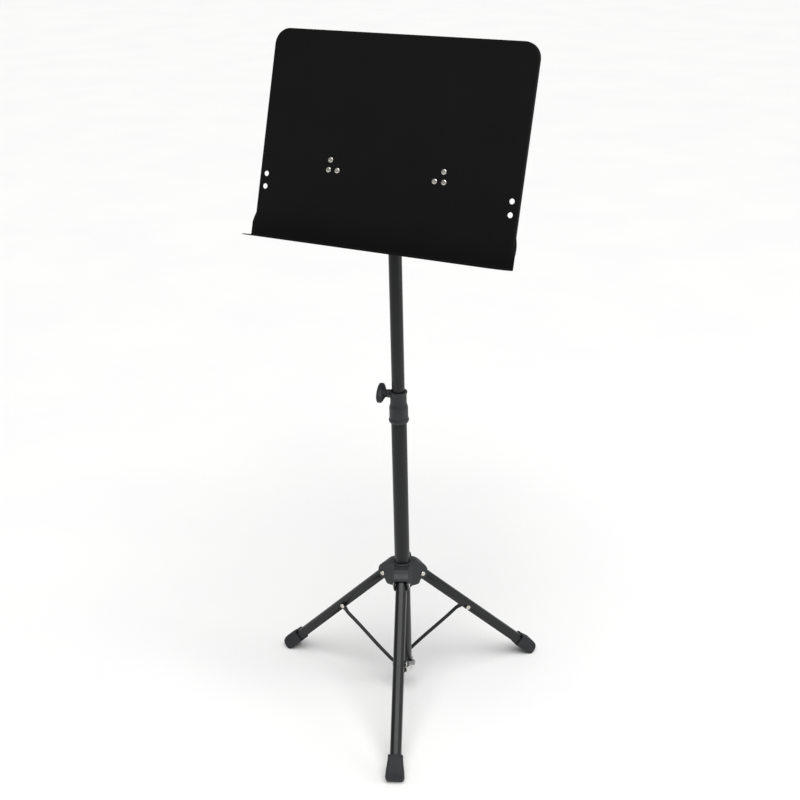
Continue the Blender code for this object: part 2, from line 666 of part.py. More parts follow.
# ---------------------------------------------------------------- sliding column and head
def build_upper_column(mats, swivel):
    inner_r = INNER_TUBE_R - INNER_TUBE_WALL
    tube = [
        (INNER_TUBE_R, INNER_TUBE_BOTTOM),
        (INNER_TUBE_R, INNER_TUBE_TOP),
        (inner_r, INNER_TUBE_TOP),
        (inner_r, INNER_TUBE_BOTTOM),
    ]
    piece("inner_tube", to_mesh(turned_tube(tube), "inner_tube"), mats["tube"], swivel)

    bush_r = OUTER_TUBE_R - OUTER_TUBE_WALL - 0.25
    bush = [
        (bush_r, 296.0),
        (bush_r, 342.0),
        (INNER_TUBE_R + 0.25, 342.0),
        (INNER_TUBE_R + 0.25, INNER_TUBE_BOTTOM - GAP),
        (9.5, INNER_TUBE_BOTTOM - GAP),
        (9.5, 296.0),
    ]
    bush_mesh = to_mesh(turned_tube(bush, ROUND_SIDES), "guide_bush")
    piece("guide_bush", bush_mesh, mats["plastic"], swivel)

    sleeve = [(13.2, 962.0), (14.0, 963.0), (14.0, 988.0), (12.6, 992.0)]
    head = piece("desk_clamp_head", to_mesh(turned(sleeve), "desk_clamp_head"), mats["plastic"], swivel)
    jaw = arc((0.0, TILT_AXIS_Z), JAW_HALF_DEPTH, 0.0, 180.0, 10)
    jaw += [(-JAW_HALF_DEPTH, 989.0), (JAW_HALF_DEPTH, 989.0)]
    jaws = helper("clamp_jaws", to_mesh(prism(jaw, -12.0, 12.0, "YZ"), "clamp_jaws"), swivel)
    boolean(head, "UNION", jaws)
    socket_r = INNER_TUBE_R + GAP
    socket = turned([(socket_r, 955.0), (socket_r, INNER_TUBE_TOP + GAP)], TUBE_SIDES)
    boolean(head, "DIFFERENCE", helper("head_socket", to_mesh(socket, "head_socket"), swivel))
    bar_bore = along(turned([(BAR_R + GAP, -20.0), (BAR_R + GAP, 20.0)]), "X")
    bar_bore = moved(bar_bore, z=TILT_AXIS_Z)
    boolean(head, "DIFFERENCE", helper("head_bar_bore", to_mesh(bar_bore, "head_bar_bore"), swivel))
    slit = prism([(-1.2, 994.5), (1.2, 994.5), (1.2, TILT_AXIS_Z), (-1.2, TILT_AXIS_Z)], -20.0, 20.0, "YZ")
    boolean(head, "DIFFERENCE", helper("head_slit", to_mesh(slit, "head_slit"), swivel))
    screw_hole = along(turned([(SCREW_HOLE_R, -20.0), (SCREW_HOLE_R, 20.0)], DRILL_SIDES), "Y")
    screw_hole = moved(screw_hole, z=TILT_SCREW_Z)
    boolean(head, "DIFFERENCE", helper("head_screw_hole", to_mesh(screw_hole, "head_screw_hole"), swivel))

    tilt_axis = empty("tilt_screw_axis", (0, 0, TILT_SCREW_Z), (0, 0, 90.0), swivel)
    nut_outline = arc((0.0, 0.0), 5.6, 30.0, 330.0, 5)
    nut = prism(nut_outline, -16.4, -11.8, "YZ")
    nut_piece = piece("tilt_nut", to_mesh(nut, "tilt_nut"), mats["steel"], tilt_axis)
    nut_bore = along(turned([(SCREW_HOLE_R, -20.0), (SCREW_HOLE_R, -8.0)], DRILL_SIDES), "X")
    boolean(nut_piece, "DIFFERENCE", helper("tilt_nut_bore", to_mesh(nut_bore, "tilt_nut_bore"), tilt_axis))
    washer = [(SCREW_HOLE_R, 11.8), (7.0, 11.8), (7.0, 13.2), (SCREW_HOLE_R, 13.2)]
    washer_mesh = to_mesh(along(turned_tube(washer, ROUND_SIDES), "X"), "tilt_washer")
    piece("tilt_washer", washer_mesh, mats["steel"], tilt_axis)

    spin = empty("tilt_knob_axis", (0, 0, 0), (90.0, 0, 0), tilt_axis)
    screw = [(2.3, -18.0), (SCREW_R, -17.0), (SCREW_R, 28.0)]
    piece("tilt_screw", to_mesh(along(turned(screw, DRILL_SIDES), "X"), "tilt_screw"), mats["steel"], spin)
    knob = piece("tilt_knob", to_mesh(wing_knob(31.6), "tilt_knob"), mats["plastic"], spin)
    knob_socket = along(turned([(SCREW_HOLE_R, 10.0), (SCREW_HOLE_R, 28.3)], DRILL_SIDES), "X")
    boolean(knob, "DIFFERENCE", helper("tilt_knob_socket", to_mesh(knob_socket, "tilt_knob_socket"), spin))


# ---------------------------------------------------------------- desk
def panel_point(u, v, ahead=0.0):
    """A point of the desk in the frame of the tilt axis: u right, v up, ahead towards the reader."""
    return Vector((u, -PANEL_AHEAD_OF_AXIS - ahead, v - AXIS_UP_THE_PANEL))


def sheet(name, polygons, thickness, material, parent):
    """Bent sheet metal: flat faces that share edges, thickened behind their front side."""
    bm = bmesh.new()
    known = {}
    for polygon in polygons:
        corners = []
        for point in polygon:
            key = tuple(round(value, 4) for value in point)
            if key not in known:
                known[key] = bm.verts.new(point)
            corners.append(known[key])
        bm.faces.new(corners)
    bmesh.ops.scale(bm, vec=(MM, MM, MM), verts=bm.verts)
    mesh = bpy.data.meshes.new(name)
    bm.to_mesh(mesh)
    bm.free()
    obj = piece(name, mesh, material, parent)
    thick = obj.modifiers.new("sheet_thickness", "SOLIDIFY")
    thick.thickness = thickness * MM
    thick.offset = -1.0
    thick.use_even_offset = True
    return obj


def panel_edge():
    """The panel's edge up the right side, over the top and down the left, as (u, v, fold) points.

    fold is the rim's angle: 0 where it lies flat beside the panel, 90 where it is folded back.
    """
    half = DESK_WIDTH / 2
    top = DESK_HEIGHT - DESK_CORNER_R
    steps = 6
    right = [(half, 0.0, 0.0), (half, RIM_FLAT_UP_TO, 0.0)]
    for i in range(1, steps + 1):
        v = RIM_FLAT_UP_TO + (RIM_FOLDED_FROM - RIM_FLAT_UP_TO) * i / steps
        right.append((half, v, 90.0 * i / steps))
    right += [(u, v, 90.0) for u, v in arc((half - DESK_CORNER_R, top), DESK_CORNER_R, 0.0, 90.0, 8)]
    left = [(-u, v, fold) for u, v, fold in reversed(right)]
    return right + left


def outward(edge, i):
    """Direction out of the panel, in its plane, at one edge point."""
    u, v, _fold = edge[i]
    half = DESK_WIDTH / 2
    top = DESK_HEIGHT - DESK_CORNER_R
    if v <= top:
        return Vector((math.copysign(1.0, u), 0.0))
    centre = Vector((math.copysign(half - DESK_CORNER_R, u), top))
    return (Vector((u, v)) - centre).normalized()


def desk_faces():
    edge = panel_edge()
    front = [panel_point(u, v) for u, v, _fold in edge]
    rim = []
    for i, (u, v, fold) in enumerate(edge):
        out = outward(edge, i)
        width = DESK_FLARE + (DESK_RIM - DESK_FLARE) * fold / 90.0
        sideways = width * math.cos(math.radians(fold))
        back = width * math.sin(math.radians(fold))
        rim.append(panel_point(u + out.x * sideways, v + out.y * sideways, -back))
    faces = [front]
    for i in range(len(edge) - 1):
        faces.append([front[i], rim[i], rim[i + 1], front[i + 1]])
    half = DESK_WIDTH / 2 + DESK_FLARE
    corner = DESK_LEDGE_CORNER_R
    reach = DESK_LEDGE - corner
    right = arc((half - corner, reach), corner, 0.0, 90.0, 8)
    left = [(-u, ahead) for u, ahead in reversed(right)]
    ledge = [front[-1], rim[-1]]
    ledge += [panel_point(u, 0.0, ahead) for u, ahead in reversed(left)]
    ledge += [panel_point(u, 0.0, ahead) for u, ahead in reversed(right)]
    ledge += [rim[0], front[0]]
    faces.append(ledge)
    return faces


def build_desk(mats, tilt):
    panel = sheet("desk_panel", desk_faces(), DESK_SHEET, mats["desk"], tilt)
    drills = []
    for side in (-1.0, 1.0):
        for u, v in HANG_HOLES:
            drills.append((side * u, v, HANG_HOLE_R))
        for u, v in BRACKET_RIVETS:
            drills.append((side * u, v, RIVET_HOLE_R))
    bores = []
    for u, v, radius in drills:
        spot = panel_point(u, v)
        bore = along(turned([(radius, -6.0), (radius, 6.0)], DRILL_SIDES), "Y")
        bores.append(moved(bore, x=spot.x, y=spot.y, z=spot.z))
    boolean(panel, "DIFFERENCE", helper("panel_holes", to_mesh(merged(bores), "panel_holes"), tilt))

    for side, word in ((-1.0, "left"), (1.0, "right")):
        build_bar_bracket(mats, tilt, side, word)
    end = BAR_LENGTH / 2
    chamfer = 0.7
    bar = [(BAR_R - chamfer, -end), (BAR_R, chamfer - end), (BAR_R, end - chamfer), (BAR_R - chamfer, end)]
    piece("tilt_bar", to_mesh(along(turned(bar), "X"), "tilt_bar"), mats["zinc"], tilt)


def build_bar_bracket(mats, tilt, side, word):
    """An angle bracket: three rivets hold its foot behind the panel, and its ear holds the bar."""
    foot_y = -PANEL_AHEAD_OF_AXIS + DESK_SHEET + GAP
    low = -15.5
    high = 16.5
    foot_end = 114.0
    ear_arc = arc((0.0, 0.0), 9.5, 60.0, -60.0, 10)
    ear = [(foot_y, low), (foot_y, high)] + ear_arc
    ear_face = [Vector((side * EAR_PLANE_U, y, z)) for y, z in ear]
    foot = [(EAR_PLANE_U, low), (foot_end - 3.0, low), (foot_end, low + 3.0)]
    foot += [(foot_end, high - 3.0), (foot_end - 3.0, high), (EAR_PLANE_U, high)]
    foot_face = [Vector((side * u, foot_y, z)) for u, z in foot]
    if side < 0:
        ear_face.reverse()
        foot_face.reverse()
    bracket = sheet(f"bar_bracket_{word}", [ear_face, foot_face], EAR_SHEET, mats["tube"], tilt)
    bar_hole = along(turned([(BAR_R + GAP, -6.0), (BAR_R + GAP, 6.0)]), "X")
    drills = [moved(bar_hole, x=side * EAR_PLANE_U)]
    for number, (u, v) in enumerate(BRACKET_RIVETS, start=1):
        z = v - AXIS_UP_THE_PANEL
        drill = along(turned([(RIVET_HOLE_R, -5.0), (RIVET_HOLE_R, 5.0)], DRILL_SIDES), "Y")
        drills.append(moved(drill, x=side * u, y=foot_y, z=z))
        shank_start = PANEL_AHEAD_OF_AXIS - DESK_SHEET - EAR_SHEET - 2 * GAP
        rivet = dome_rivet(4.6, 1.4, RIVET_SHANK_R, shank_start, PANEL_AHEAD_OF_AXIS + GAP, 3.2, 1.2)
        stand_up = Matrix.Rotation(math.pi / 2, 3, "X")
        bmesh.ops.rotate(rivet, verts=rivet.verts, cent=(0, 0, 0), matrix=stand_up)
        rivet = moved(rivet, x=side * u, z=z)
        name = f"desk_rivet_{word}_{number}"
        piece(name, to_mesh(rivet, name), mats["steel"], tilt)
    cutter = helper(f"{word}_bracket_holes", to_mesh(merged(drills), "bracket_holes"), tilt)
    boolean(bracket, "DIFFERENCE", cutter)


# ---------------------------------------------------------------- assembly
def build_stand():
    mats = make_materials()
    column = empty("column_axis", (COLUMN_X, COLUMN_Y, 0.0))
    hub = empty("hub_slide_axis", (0, 0, 0), parent=column)
    swivel = empty("swivel_axis", (0, 0, 0), parent=column)
    tilt = empty("desk_tilt_axis", (0, 0, TILT_AXIS_Z), (-DESK_LEAN, 0, 0), swivel)
    build_column(mats, column)
    build_hub(mats, hub)
    build_upper_column(mats, swivel)
    build_desk(mats, tilt)


clear_scene()
build_stand()
bpy.context.view_layer.update()
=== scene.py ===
# %% [markdown]
# # A folding music stand, from its frame to its finish
#
# The stand is a black steel desk on a telescoping column over a folding tripod. Its working
# parts come as a fixed frame, in metres, with every joint at rest. This lesson gives each visible
# piece a fine mesh and a real finish, and puts it back on the body that it moves with.

# %% Load the frame
import math

import bmesh
import bpy
from mathutils import Matrix, Vector


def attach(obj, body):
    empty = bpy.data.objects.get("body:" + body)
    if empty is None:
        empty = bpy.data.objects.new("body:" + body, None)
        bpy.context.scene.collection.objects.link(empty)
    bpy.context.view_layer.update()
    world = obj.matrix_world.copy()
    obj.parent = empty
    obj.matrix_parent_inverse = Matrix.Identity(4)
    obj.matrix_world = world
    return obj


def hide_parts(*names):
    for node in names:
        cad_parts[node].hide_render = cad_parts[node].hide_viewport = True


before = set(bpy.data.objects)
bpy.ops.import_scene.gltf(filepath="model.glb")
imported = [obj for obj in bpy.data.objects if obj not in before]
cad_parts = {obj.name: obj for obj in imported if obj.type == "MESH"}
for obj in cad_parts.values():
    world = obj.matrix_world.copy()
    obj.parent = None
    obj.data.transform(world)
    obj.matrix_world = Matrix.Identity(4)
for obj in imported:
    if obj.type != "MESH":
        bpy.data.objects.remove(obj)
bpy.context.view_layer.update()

# %% [markdown]
# ## Sizes
#
# Drawings of sheet-metal work are in millimetres, so every size below is too, and one factor turns
# a finished mesh into metres. The column stands a little beside the middle of the floor plan, and
# everything else is placed from it.

# %% Sizes in millimetres
MM = 0.001
GAP = 0.3
COLUMN = Vector((21.7, 12.5, 0.0))
LEG_TURNS = (-65.5, 54.5, 174.5)
LEG_PIVOT = (35.8, 252.4)
LEG_SLOPE = 45.0
LEG_WIDTH = 20.0
LEG_DEPTH = 19.0
LEG_WALL = 1.5
LEG_CORNER_R = 8.0
LEG_ENDS = (-8.0, 338.0)
STRUT_RIVET = (144.5, -4.9)
STRUT_PIN = (-8.0, 53.5)
EYE_R = 5.5
EYE_THICK = 2.8
ROD_R = 3.4
RIVET_SHANK_R = 2.0
RIVET_HOLE_R = 2.3
PIVOT_SHANK_R = 3.0
PIVOT_HOLE_R = 3.4
SCREW_HOLE_R = 3.2
SCREW_BORE_R = 5.6
DESK_LEAN = 18.0
DESK_WIDTH = 482.0
DESK_HEIGHT = 350.0
DESK_CORNER_R = 27.0
DESK_RIM = 7.8
DESK_FLARE = 4.5  # the rim's width where it lies flat
DESK_SHEET = 1.2
LEDGE = 47.0
LEDGE_CORNER_R = 28.0
TILT_Z = 1016.0
AXIS_BEHIND_PANEL = 27.0
AXIS_UP_PANEL = 131.0
print("desk", DESK_WIDTH, "x", DESK_HEIGHT, "mm, leaning back", DESK_LEAN, "degrees")

# %% [markdown]
# ## Places
#
# A place is a matrix from a piece's own drawing, in millimetres, to the stand. The column's place
# turns about the vertical, so one drawing of a leg serves all three. A leg's place then moves out
# to its pivot and slopes down, with X running along the leg.

# %% Places
def at_column(turn=0.0, x=0.0, y=0.0, z=0.0):
    swing = Matrix.Rotation(math.radians(turn), 4, "Z")
    return Matrix.Translation(COLUMN) @ swing @ Matrix.Translation((x, y, z))


def along_leg(turn):
    slope = Matrix.Rotation(math.radians(LEG_SLOPE), 4, "Y")
    return at_column(turn, x=LEG_PIVOT[0], z=LEG_PIVOT[1]) @ slope


def strut_run():
    """Length of a strut between its pins, and its rise from the column's foot in degrees."""
    slope = math.radians(LEG_SLOPE)
    along, above = STRUT_RIVET
    reach = LEG_PIVOT[0] + along * math.cos(slope) + above * math.sin(slope)
    height = LEG_PIVOT[1] - along * math.sin(slope) + above * math.cos(slope)
    run = reach - STRUT_PIN[0]
    rise = height - STRUT_PIN[1]
    return math.hypot(run, rise), math.degrees(math.atan2(rise, run))


def along_strut(turn):
    lift = Matrix.Rotation(-math.radians(strut_run()[1]), 4, "Y")
    return at_column(turn, x=STRUT_PIN[0], z=STRUT_PIN[1]) @ lift


AT_DESK = at_column(z=TILT_Z) @ Matrix.Rotation(-math.radians(DESK_LEAN), 4, "X")
X_IS_UP = Matrix.Rotation(math.pi / 2, 4, "Y")  # a piece turned about Z then lies along X
Y_IS_UP = Matrix.Rotation(-math.pi / 2, 4, "X")  # and here along Y
print("a strut is", round(strut_run()[0], 1), "mm between its pins")

# %% [markdown]
# ## Mesh helpers
#
# Nearly every piece here is a row of rings with faces between them: a tube, a rivet, a bent leg,
# a rod. One function makes faces through rings. The others turn such a mesh into an object, carve
# one object with others, and write its modifiers into plain mesh.

# %% Faces through rings
def through(rings, loop=False):
    bm = bmesh.new()
    rows = [[bm.verts.new(point) for point in ring] for ring in rings]
    count = len(rows[0])
    pairs = list(zip(rows, rows[1:]))
    if loop:
        pairs.append((rows[-1], rows[0]))
    for first, second in pairs:
        for i in range(count):
            j = (i + 1) % count
            bm.faces.new((first[i], first[j], second[j], second[i]))
    if not loop:
        bm.faces.new(rows[0])
        bm.faces.new(rows[-1])
    return bm


def ring(radius, z, sides):
    turns = [math.tau * i / sides for i in range(sides)]
    return [Vector((radius * math.cos(a), radius * math.sin(a), z)) for a in turns]


def turned(profile, sides=48):
    """Solid, from (radius, z) points that run from one end to the other."""
    return through([ring(radius, z, sides) for radius, z in profile])


def turned_hollow(profile, sides=96):
    """Hollow, from a closed (radius, z) outline that stays off the axis."""
    turns = [math.tau * i / sides for i in range(sides)]
    rings = [[Vector((r * math.cos(a), r * math.sin(a), z)) for r, z in profile] for a in turns]
    return through(rings, loop=True)


def extruded(outline, low, high):
    """A side view of (x, z) points, pushed through from y = low to y = high."""
    return through([[Vector((x, y, z)) for x, z in outline] for y in (low, high)])


def bend(centre, radius, start, end, steps):
    turns = [math.radians(start + (end - start) * i / steps) for i in range(steps + 1)]
    return [(centre[0] + radius * math.cos(a), centre[1] + radius * math.sin(a)) for a in turns]


# %% From mesh to object
def made(name, bm, place, sharp=35.0):
    bmesh.ops.transform(bm, matrix=Matrix.Scale(MM, 4) @ place, verts=bm.verts)
    bmesh.ops.recalc_face_normals(bm, faces=bm.faces)
    mesh = bpy.data.meshes.new(name)
    bm.to_mesh(mesh)
    bm.free()
    mesh.shade_smooth()
    mesh.set_sharp_from_angle(angle=math.radians(sharp))
    piece = bpy.data.objects.new(name, mesh)
    bpy.context.scene.collection.objects.link(piece)
    return piece


def plain_mesh(piece):
    """Writes the modifiers into the mesh."""
    bpy.context.view_layer.update()
    graph = bpy.context.evaluated_depsgraph_get()
    mesh = bpy.data.meshes.new_from_object(piece.evaluated_get(graph))
    piece.modifiers.clear()
    piece.data = mesh
    return piece


def carve(piece, tools, operation="DIFFERENCE"):
    for tool in tools:
        cut = piece.modifiers.new("cut", "BOOLEAN")
        cut.operation = operation
        cut.solver = "EXACT"
        cut.object = tool
    plain_mesh(piece)
    for tool in tools:
        bpy.data.objects.remove(tool, do_unlink=True)
    return piece


def broken_edges(piece, width, segments=2, angle=50.0):
    """Takes the sharpness off every edge, as deburring and paint do."""
    edge = piece.modifiers.new("edges", "BEVEL")
    edge.width = width * MM
    edge.segments = segments
    edge.limit_method = "ANGLE"
    edge.angle_limit = math.radians(angle)
    edge.harden_normals = True
    return plain_mesh(piece)


def moulded(piece, voxel, passes, keep):
    """Melts a carved block into one skin with the soft inner and outer corners of a moulding."""
    skin = piece.modifiers.new("skin", "REMESH")
    skin.mode = "VOXEL"
    skin.voxel_size = voxel * MM
    skin.use_smooth_shade = True
    relax = piece.modifiers.new("relax", "SMOOTH")
    relax.factor = 0.5
    relax.iterations = passes
    thin = piece.modifiers.new("thin", "DECIMATE")
    thin.ratio = keep
    plain_mesh(piece)
    piece.data.shade_smooth()
    return piece


# %% [markdown]
# ## Finishing a piece
#
# A finished piece gets its material and the body it moves with, and the rough part that it
# stands for is hidden. One function does all three, so none is forgotten.

# %% Finish and fit a piece
def fitted(piece, material, slot, body, *stands_for):
    piece.data.materials.clear()
    piece.data.materials.append(material)
    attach(piece, body)
    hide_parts(*stands_for)
    print(piece.name, "has", len(piece.data.polygons), "faces")
    return piece


# %% [markdown]
# ## Colour and nodes
#
# A colour picker shows sRGB, but the shader wants linear light, so one function converts a hex
# value. Another adds a node with its settings and links, which keeps each material readable.

# %% Colour and node helpers
def linear(hex_value, alpha=1.0):
    parts = [int(hex_value[i : i + 2], 16) / 255 for i in (1, 3, 5)]
    light = [c / 12.92 if c <= 0.04045 else ((c + 0.055) / 1.055) ** 2.4 for c in parts]
    return (*light, alpha)


def add(tree, kind, values=(), links=(), **settings):
    node = tree.nodes.new("ShaderNode" + kind)
    for name, value in settings.items():
        setattr(node, name, value)
    for name, value in dict(values).items():
        node.inputs[name].default_value = value
    for name, source in dict(links).items():
        tree.links.new(source, node.inputs[name])
    return node


def new_material(name):
    material = bpy.data.materials.new(name)
    material.use_nodes = True
    tree = material.node_tree
    shader = tree.nodes["Principled BSDF"]
    place = add(tree, "TexCoord").outputs["Object"]
    return material, tree, shader, place


def connect(tree, shader, colour, sheen, bumps):
    tree.links.new(colour, shader.inputs["Base Color"])
    tree.links.new(sheen.outputs["Result"], shader.inputs["Roughness"])
    tree.links.new(bumps.outputs["Normal"], shader.inputs["Normal"])


def colour_ramp(tree, source, stops):
    ramp = add(tree, "ValToRGB", links={"Fac": source})
    ramp.color_ramp.elements[0].position = stops[0][0]
    ramp.color_ramp.elements[0].color = stops[0][1]
    ramp.color_ramp.elements[1].position = stops[-1][0]
    ramp.color_ramp.elements[1].color = stops[-1][1]
    for position, colour in stops[1:-1]:
        ramp.color_ramp.elements.new(position).color = colour
    return ramp.outputs["Color"]


# %% [markdown]
# ## The desk's paint: matt black powder coat
#
# Polyester powder is sprayed dry and baked on. It melts into a film about 0.08 mm thick that keeps
# a fine orange peel, with bumps 0.3 to 1 mm apart, and a matt grade scatters light so widely that
# the sheet looks almost the same black from everywhere. Two noises serve: fine grain for the bump
# and a slow cloud for the slight change of depth in the film.

# %% Matt powder coat
def matt_powder_coat():
    material, tree, shader, place = new_material("matt_powder_coat")
    # The real peel is about 0.7 mm; 1.6 mm is the finest that still shows at arm's length.
    peel = add(tree, "TexNoise", {"Scale": 1 / 0.0016, "Detail": 3.0}, {"Vector": place})
    film = add(tree, "TexNoise", {"Scale": 1 / 0.09, "Detail": 2.0}, {"Vector": place})
    colour = colour_ramp(
        tree, film.outputs["Fac"], [(0.3, linear("#080908")), (0.7, linear("#0B0C0B"))]
    )
    sheen = add(
        tree,
        "MapRange",
        {"From Min": 0.3, "From Max": 0.7, "To Min": 0.58, "To Max": 0.68},
        {"Value": peel.outputs["Fac"]},
    )
    bumps = add(tree, "Bump", {"Strength": 0.25, "Distance": 0.00012}, {"Height": peel.outputs["Fac"]})
    connect(tree, shader, colour, sheen, bumps)
    shader.inputs["IOR"].default_value = 1.5
    shader.inputs["Specular IOR Level"].default_value = 0.12
    return material


desk_paint = matt_powder_coat()
print("made", desk_paint.name)

# %% [markdown]
# ## The tubes' paint: satin black powder coat
#
# The column, legs and struts carry a smoother grade of the same paint. It is a shade lighter and
# has enough gloss to draw a soft bright line along every rounded edge.

# %% Satin powder coat
def satin_powder_coat():
    material, tree, shader, place = new_material("satin_powder_coat")
    # Orange peel on a tube is about 1 mm across, drawn at 1.5 mm so that it shows.
    peel = add(tree, "TexNoise", {"Scale": 1 / 0.0015, "Detail": 2.0}, {"Vector": place})
    film = add(tree, "TexNoise", {"Scale": 1 / 0.06, "Detail": 3.0}, {"Vector": place})
    colour = colour_ramp(
        tree, film.outputs["Fac"], [(0.3, linear("#141517")), (0.7, linear("#18191B"))]
    )
    sheen = add(
        tree,
        "MapRange",
        {"From Min": 0.3, "From Max": 0.7, "To Min": 0.28, "To Max": 0.36},
        {"Value": film.outputs["Fac"]},
    )
    bumps = add(tree, "Bump", {"Strength": 0.2, "Distance": 0.0001}, {"Height": peel.outputs["Fac"]})
    connect(tree, shader, colour, sheen, bumps)
    shader.inputs["IOR"].default_value = 1.5
    shader.inputs["Specular IOR Level"].default_value = 0.32
    return material


tube_paint = satin_powder_coat()
print("made", tube_paint.name)

# %% [markdown]
# ## The mouldings: black glass-filled nylon
#
# The hub, collar, clamp head and knobs are injection moulded. The mould is spark eroded, which
# leaves a fine even pitting that hides flow marks, and the glass fibre makes the sheen a little
# cloudy. A cell pattern gives the pits, and a slow noise the cloudiness.

# %% Moulded nylon
def moulded_nylon():
    material, tree, shader, place = new_material("moulded_nylon")
    # Spark-eroded pits are about 0.1 mm; 0.8 mm is the finest that still shows.
    pits = add(tree, "TexVoronoi", {"Scale": 1 / 0.0008}, {"Vector": place}, feature="SMOOTH_F1")
    flow = add(tree, "TexNoise", {"Scale": 1 / 0.012, "Detail": 4.0}, {"Vector": place})
    colour = colour_ramp(
        tree, flow.outputs["Fac"], [(0.3, linear("#1B1D1F")), (0.7, linear("#212326"))]
    )
    sheen = add(
        tree,
        "MapRange",
        {"From Min": 0.3, "From Max": 0.7, "To Min": 0.42, "To Max": 0.54},
        {"Value": flow.outputs["Fac"]},
    )
    bumps = add(tree, "Bump", {"Strength": 0.2, "Distance": 0.0001}, {"Height": pits.outputs["Distance"]})
    connect(tree, shader, colour, sheen, bumps)
    shader.inputs["IOR"].default_value = 1.53
    shader.inputs["Specular IOR Level"].default_value = 0.4
    return material


nylon = moulded_nylon()
print("made", nylon.name)

# %% [markdown]
# ## The boots: black rubber
#
# The boots are soft rubber pressed over the ends of the legs. Rubber is filled with carbon black
# and comes from the mould dull, with a bloom of wax that makes it a little grey where it has been
# handled. It is the roughest surface on the stand.

# %% Moulded rubber
def boot_rubber():
    material, tree, shader, place = new_material("boot_rubber")
    grain = add(tree, "TexNoise", {"Scale": 1 / 0.0012, "Detail": 4.0}, {"Vector": place})
    bloom = add(tree, "TexNoise", {"Scale": 1 / 0.018, "Detail": 3.0}, {"Vector": place})
    colour = colour_ramp(
        tree, bloom.outputs["Fac"], [(0.35, linear("#1F2023")), (0.7, linear("#292A2D"))]
    )
    sheen = add(
        tree,
        "MapRange",
        {"From Min": 0.3, "From Max": 0.7, "To Min": 0.62, "To Max": 0.78},
        {"Value": bloom.outputs["Fac"]},
    )
    bumps = add(tree, "Bump", {"Strength": 0.3, "Distance": 0.00015}, {"Height": grain.outputs["Fac"]})
    connect(tree, shader, colour, sheen, bumps)
    shader.inputs["IOR"].default_value = 1.52
    shader.inputs["Specular IOR Level"].default_value = 0.35
    return material


rubber = boot_rubber()
print("made", rubber.name)

# %% [markdown]
# ## The metals: bright zinc, rivet steel and brass
#
# The bracket and the bar are plated with bright zinc, which has a faint blue and yellow film. The
# rivets and screws are plain plated steel, and the threaded inserts are machined brass. They share
# one recipe with other colours: cloudy roughness, and fine scratches from handling.

# %% Plated and machined metal
def bright_metal(name, dark, light, smooth, rough, scratch_mm):
    material, tree, shader, place = new_material(name)
    cloud = add(tree, "TexNoise", {"Scale": 1 / 0.007, "Detail": 4.0}, {"Vector": place})
    stretch = add(tree, "Mapping", {"Scale": (1.0, 1.0, 0.08)}, {"Vector": place})
    scratches = add(
        tree,
        "TexNoise",
        {"Scale": 1000 / scratch_mm, "Detail": 2.0},
        {"Vector": stretch.outputs["Vector"]},
    )
    colour = colour_ramp(tree, cloud.outputs["Fac"], [(0.3, linear(dark)), (0.7, linear(light))])
    sheen = add(
        tree,
        "MapRange",
        {"From Min": 0.3, "From Max": 0.7, "To Min": smooth, "To Max": rough},
        {"Value": cloud.outputs["Fac"]},
    )
    bumps = add(
        tree, "Bump", {"Strength": 0.15, "Distance": 0.00005}, {"Height": scratches.outputs["Fac"]}
    )
    connect(tree, shader, colour, sheen, bumps)
    shader.inputs["Metallic"].default_value = 1.0
    return material


zinc = bright_metal("bright_zinc_plate", "#C9CBCC", "#DEDCD6", 0.24, 0.36, 0.6)
rivet_steel = bright_metal("plated_rivet_steel", "#C4C1BA", "#DAD7D0", 0.2, 0.32, 0.5)
brass = bright_metal("machined_brass", "#B8975A", "#D0B070", 0.22, 0.34, 0.4)
print("made", zinc.name, rivet_steel.name, brass.name)

# %% [markdown]
# ## The desk: one bent sheet
#
# A blank of 1.2 mm steel is folded once along the bottom, for the ledge, and its other three edges
# are turned back as a stiffening rim. Near the bottom corners the rim is left flat and runs out
# into the ledge, so each side has a short twist. A box with bevels could not twist, so the front
# skin is drawn as a strip whose fold angle changes along the edge, and Solidify gives the sheet.

# %% The fold along the panel's edge
FOLD_R = 2.2
LEDGE_FOLD_R = 2.0
FLAT_UP_TO = 21.0
FOLDED_FROM = 50.0


def on_panel(u, v, ahead=0.0):
    """u to the right, v up the panel, ahead towards the reader."""
    return Vector((u, -AXIS_BEHIND_PANEL - ahead, v - AXIS_UP_PANEL))


def fold_profile(fold):
    """(outwards, back) points of the rim, from where the bend leaves the flat panel."""
    turn = math.radians(fold)
    quarter = FOLD_R * math.pi / 2
    full = FOLD_R + DESK_FLARE
    length = full + (quarter + DESK_RIM - FOLD_R - full) * fold / 90.0
    points = []
    for s in [quarter * i / 7 for i in range(8)] + [(quarter + length) / 2, length]:
        a = min(s / FOLD_R, turn)
        rest = s - a * FOLD_R
        out = FOLD_R * math.sin(a) + rest * math.cos(a)
        back = FOLD_R * (1 - math.cos(a)) + rest * math.sin(a)
        points.append((out, back))
    return points


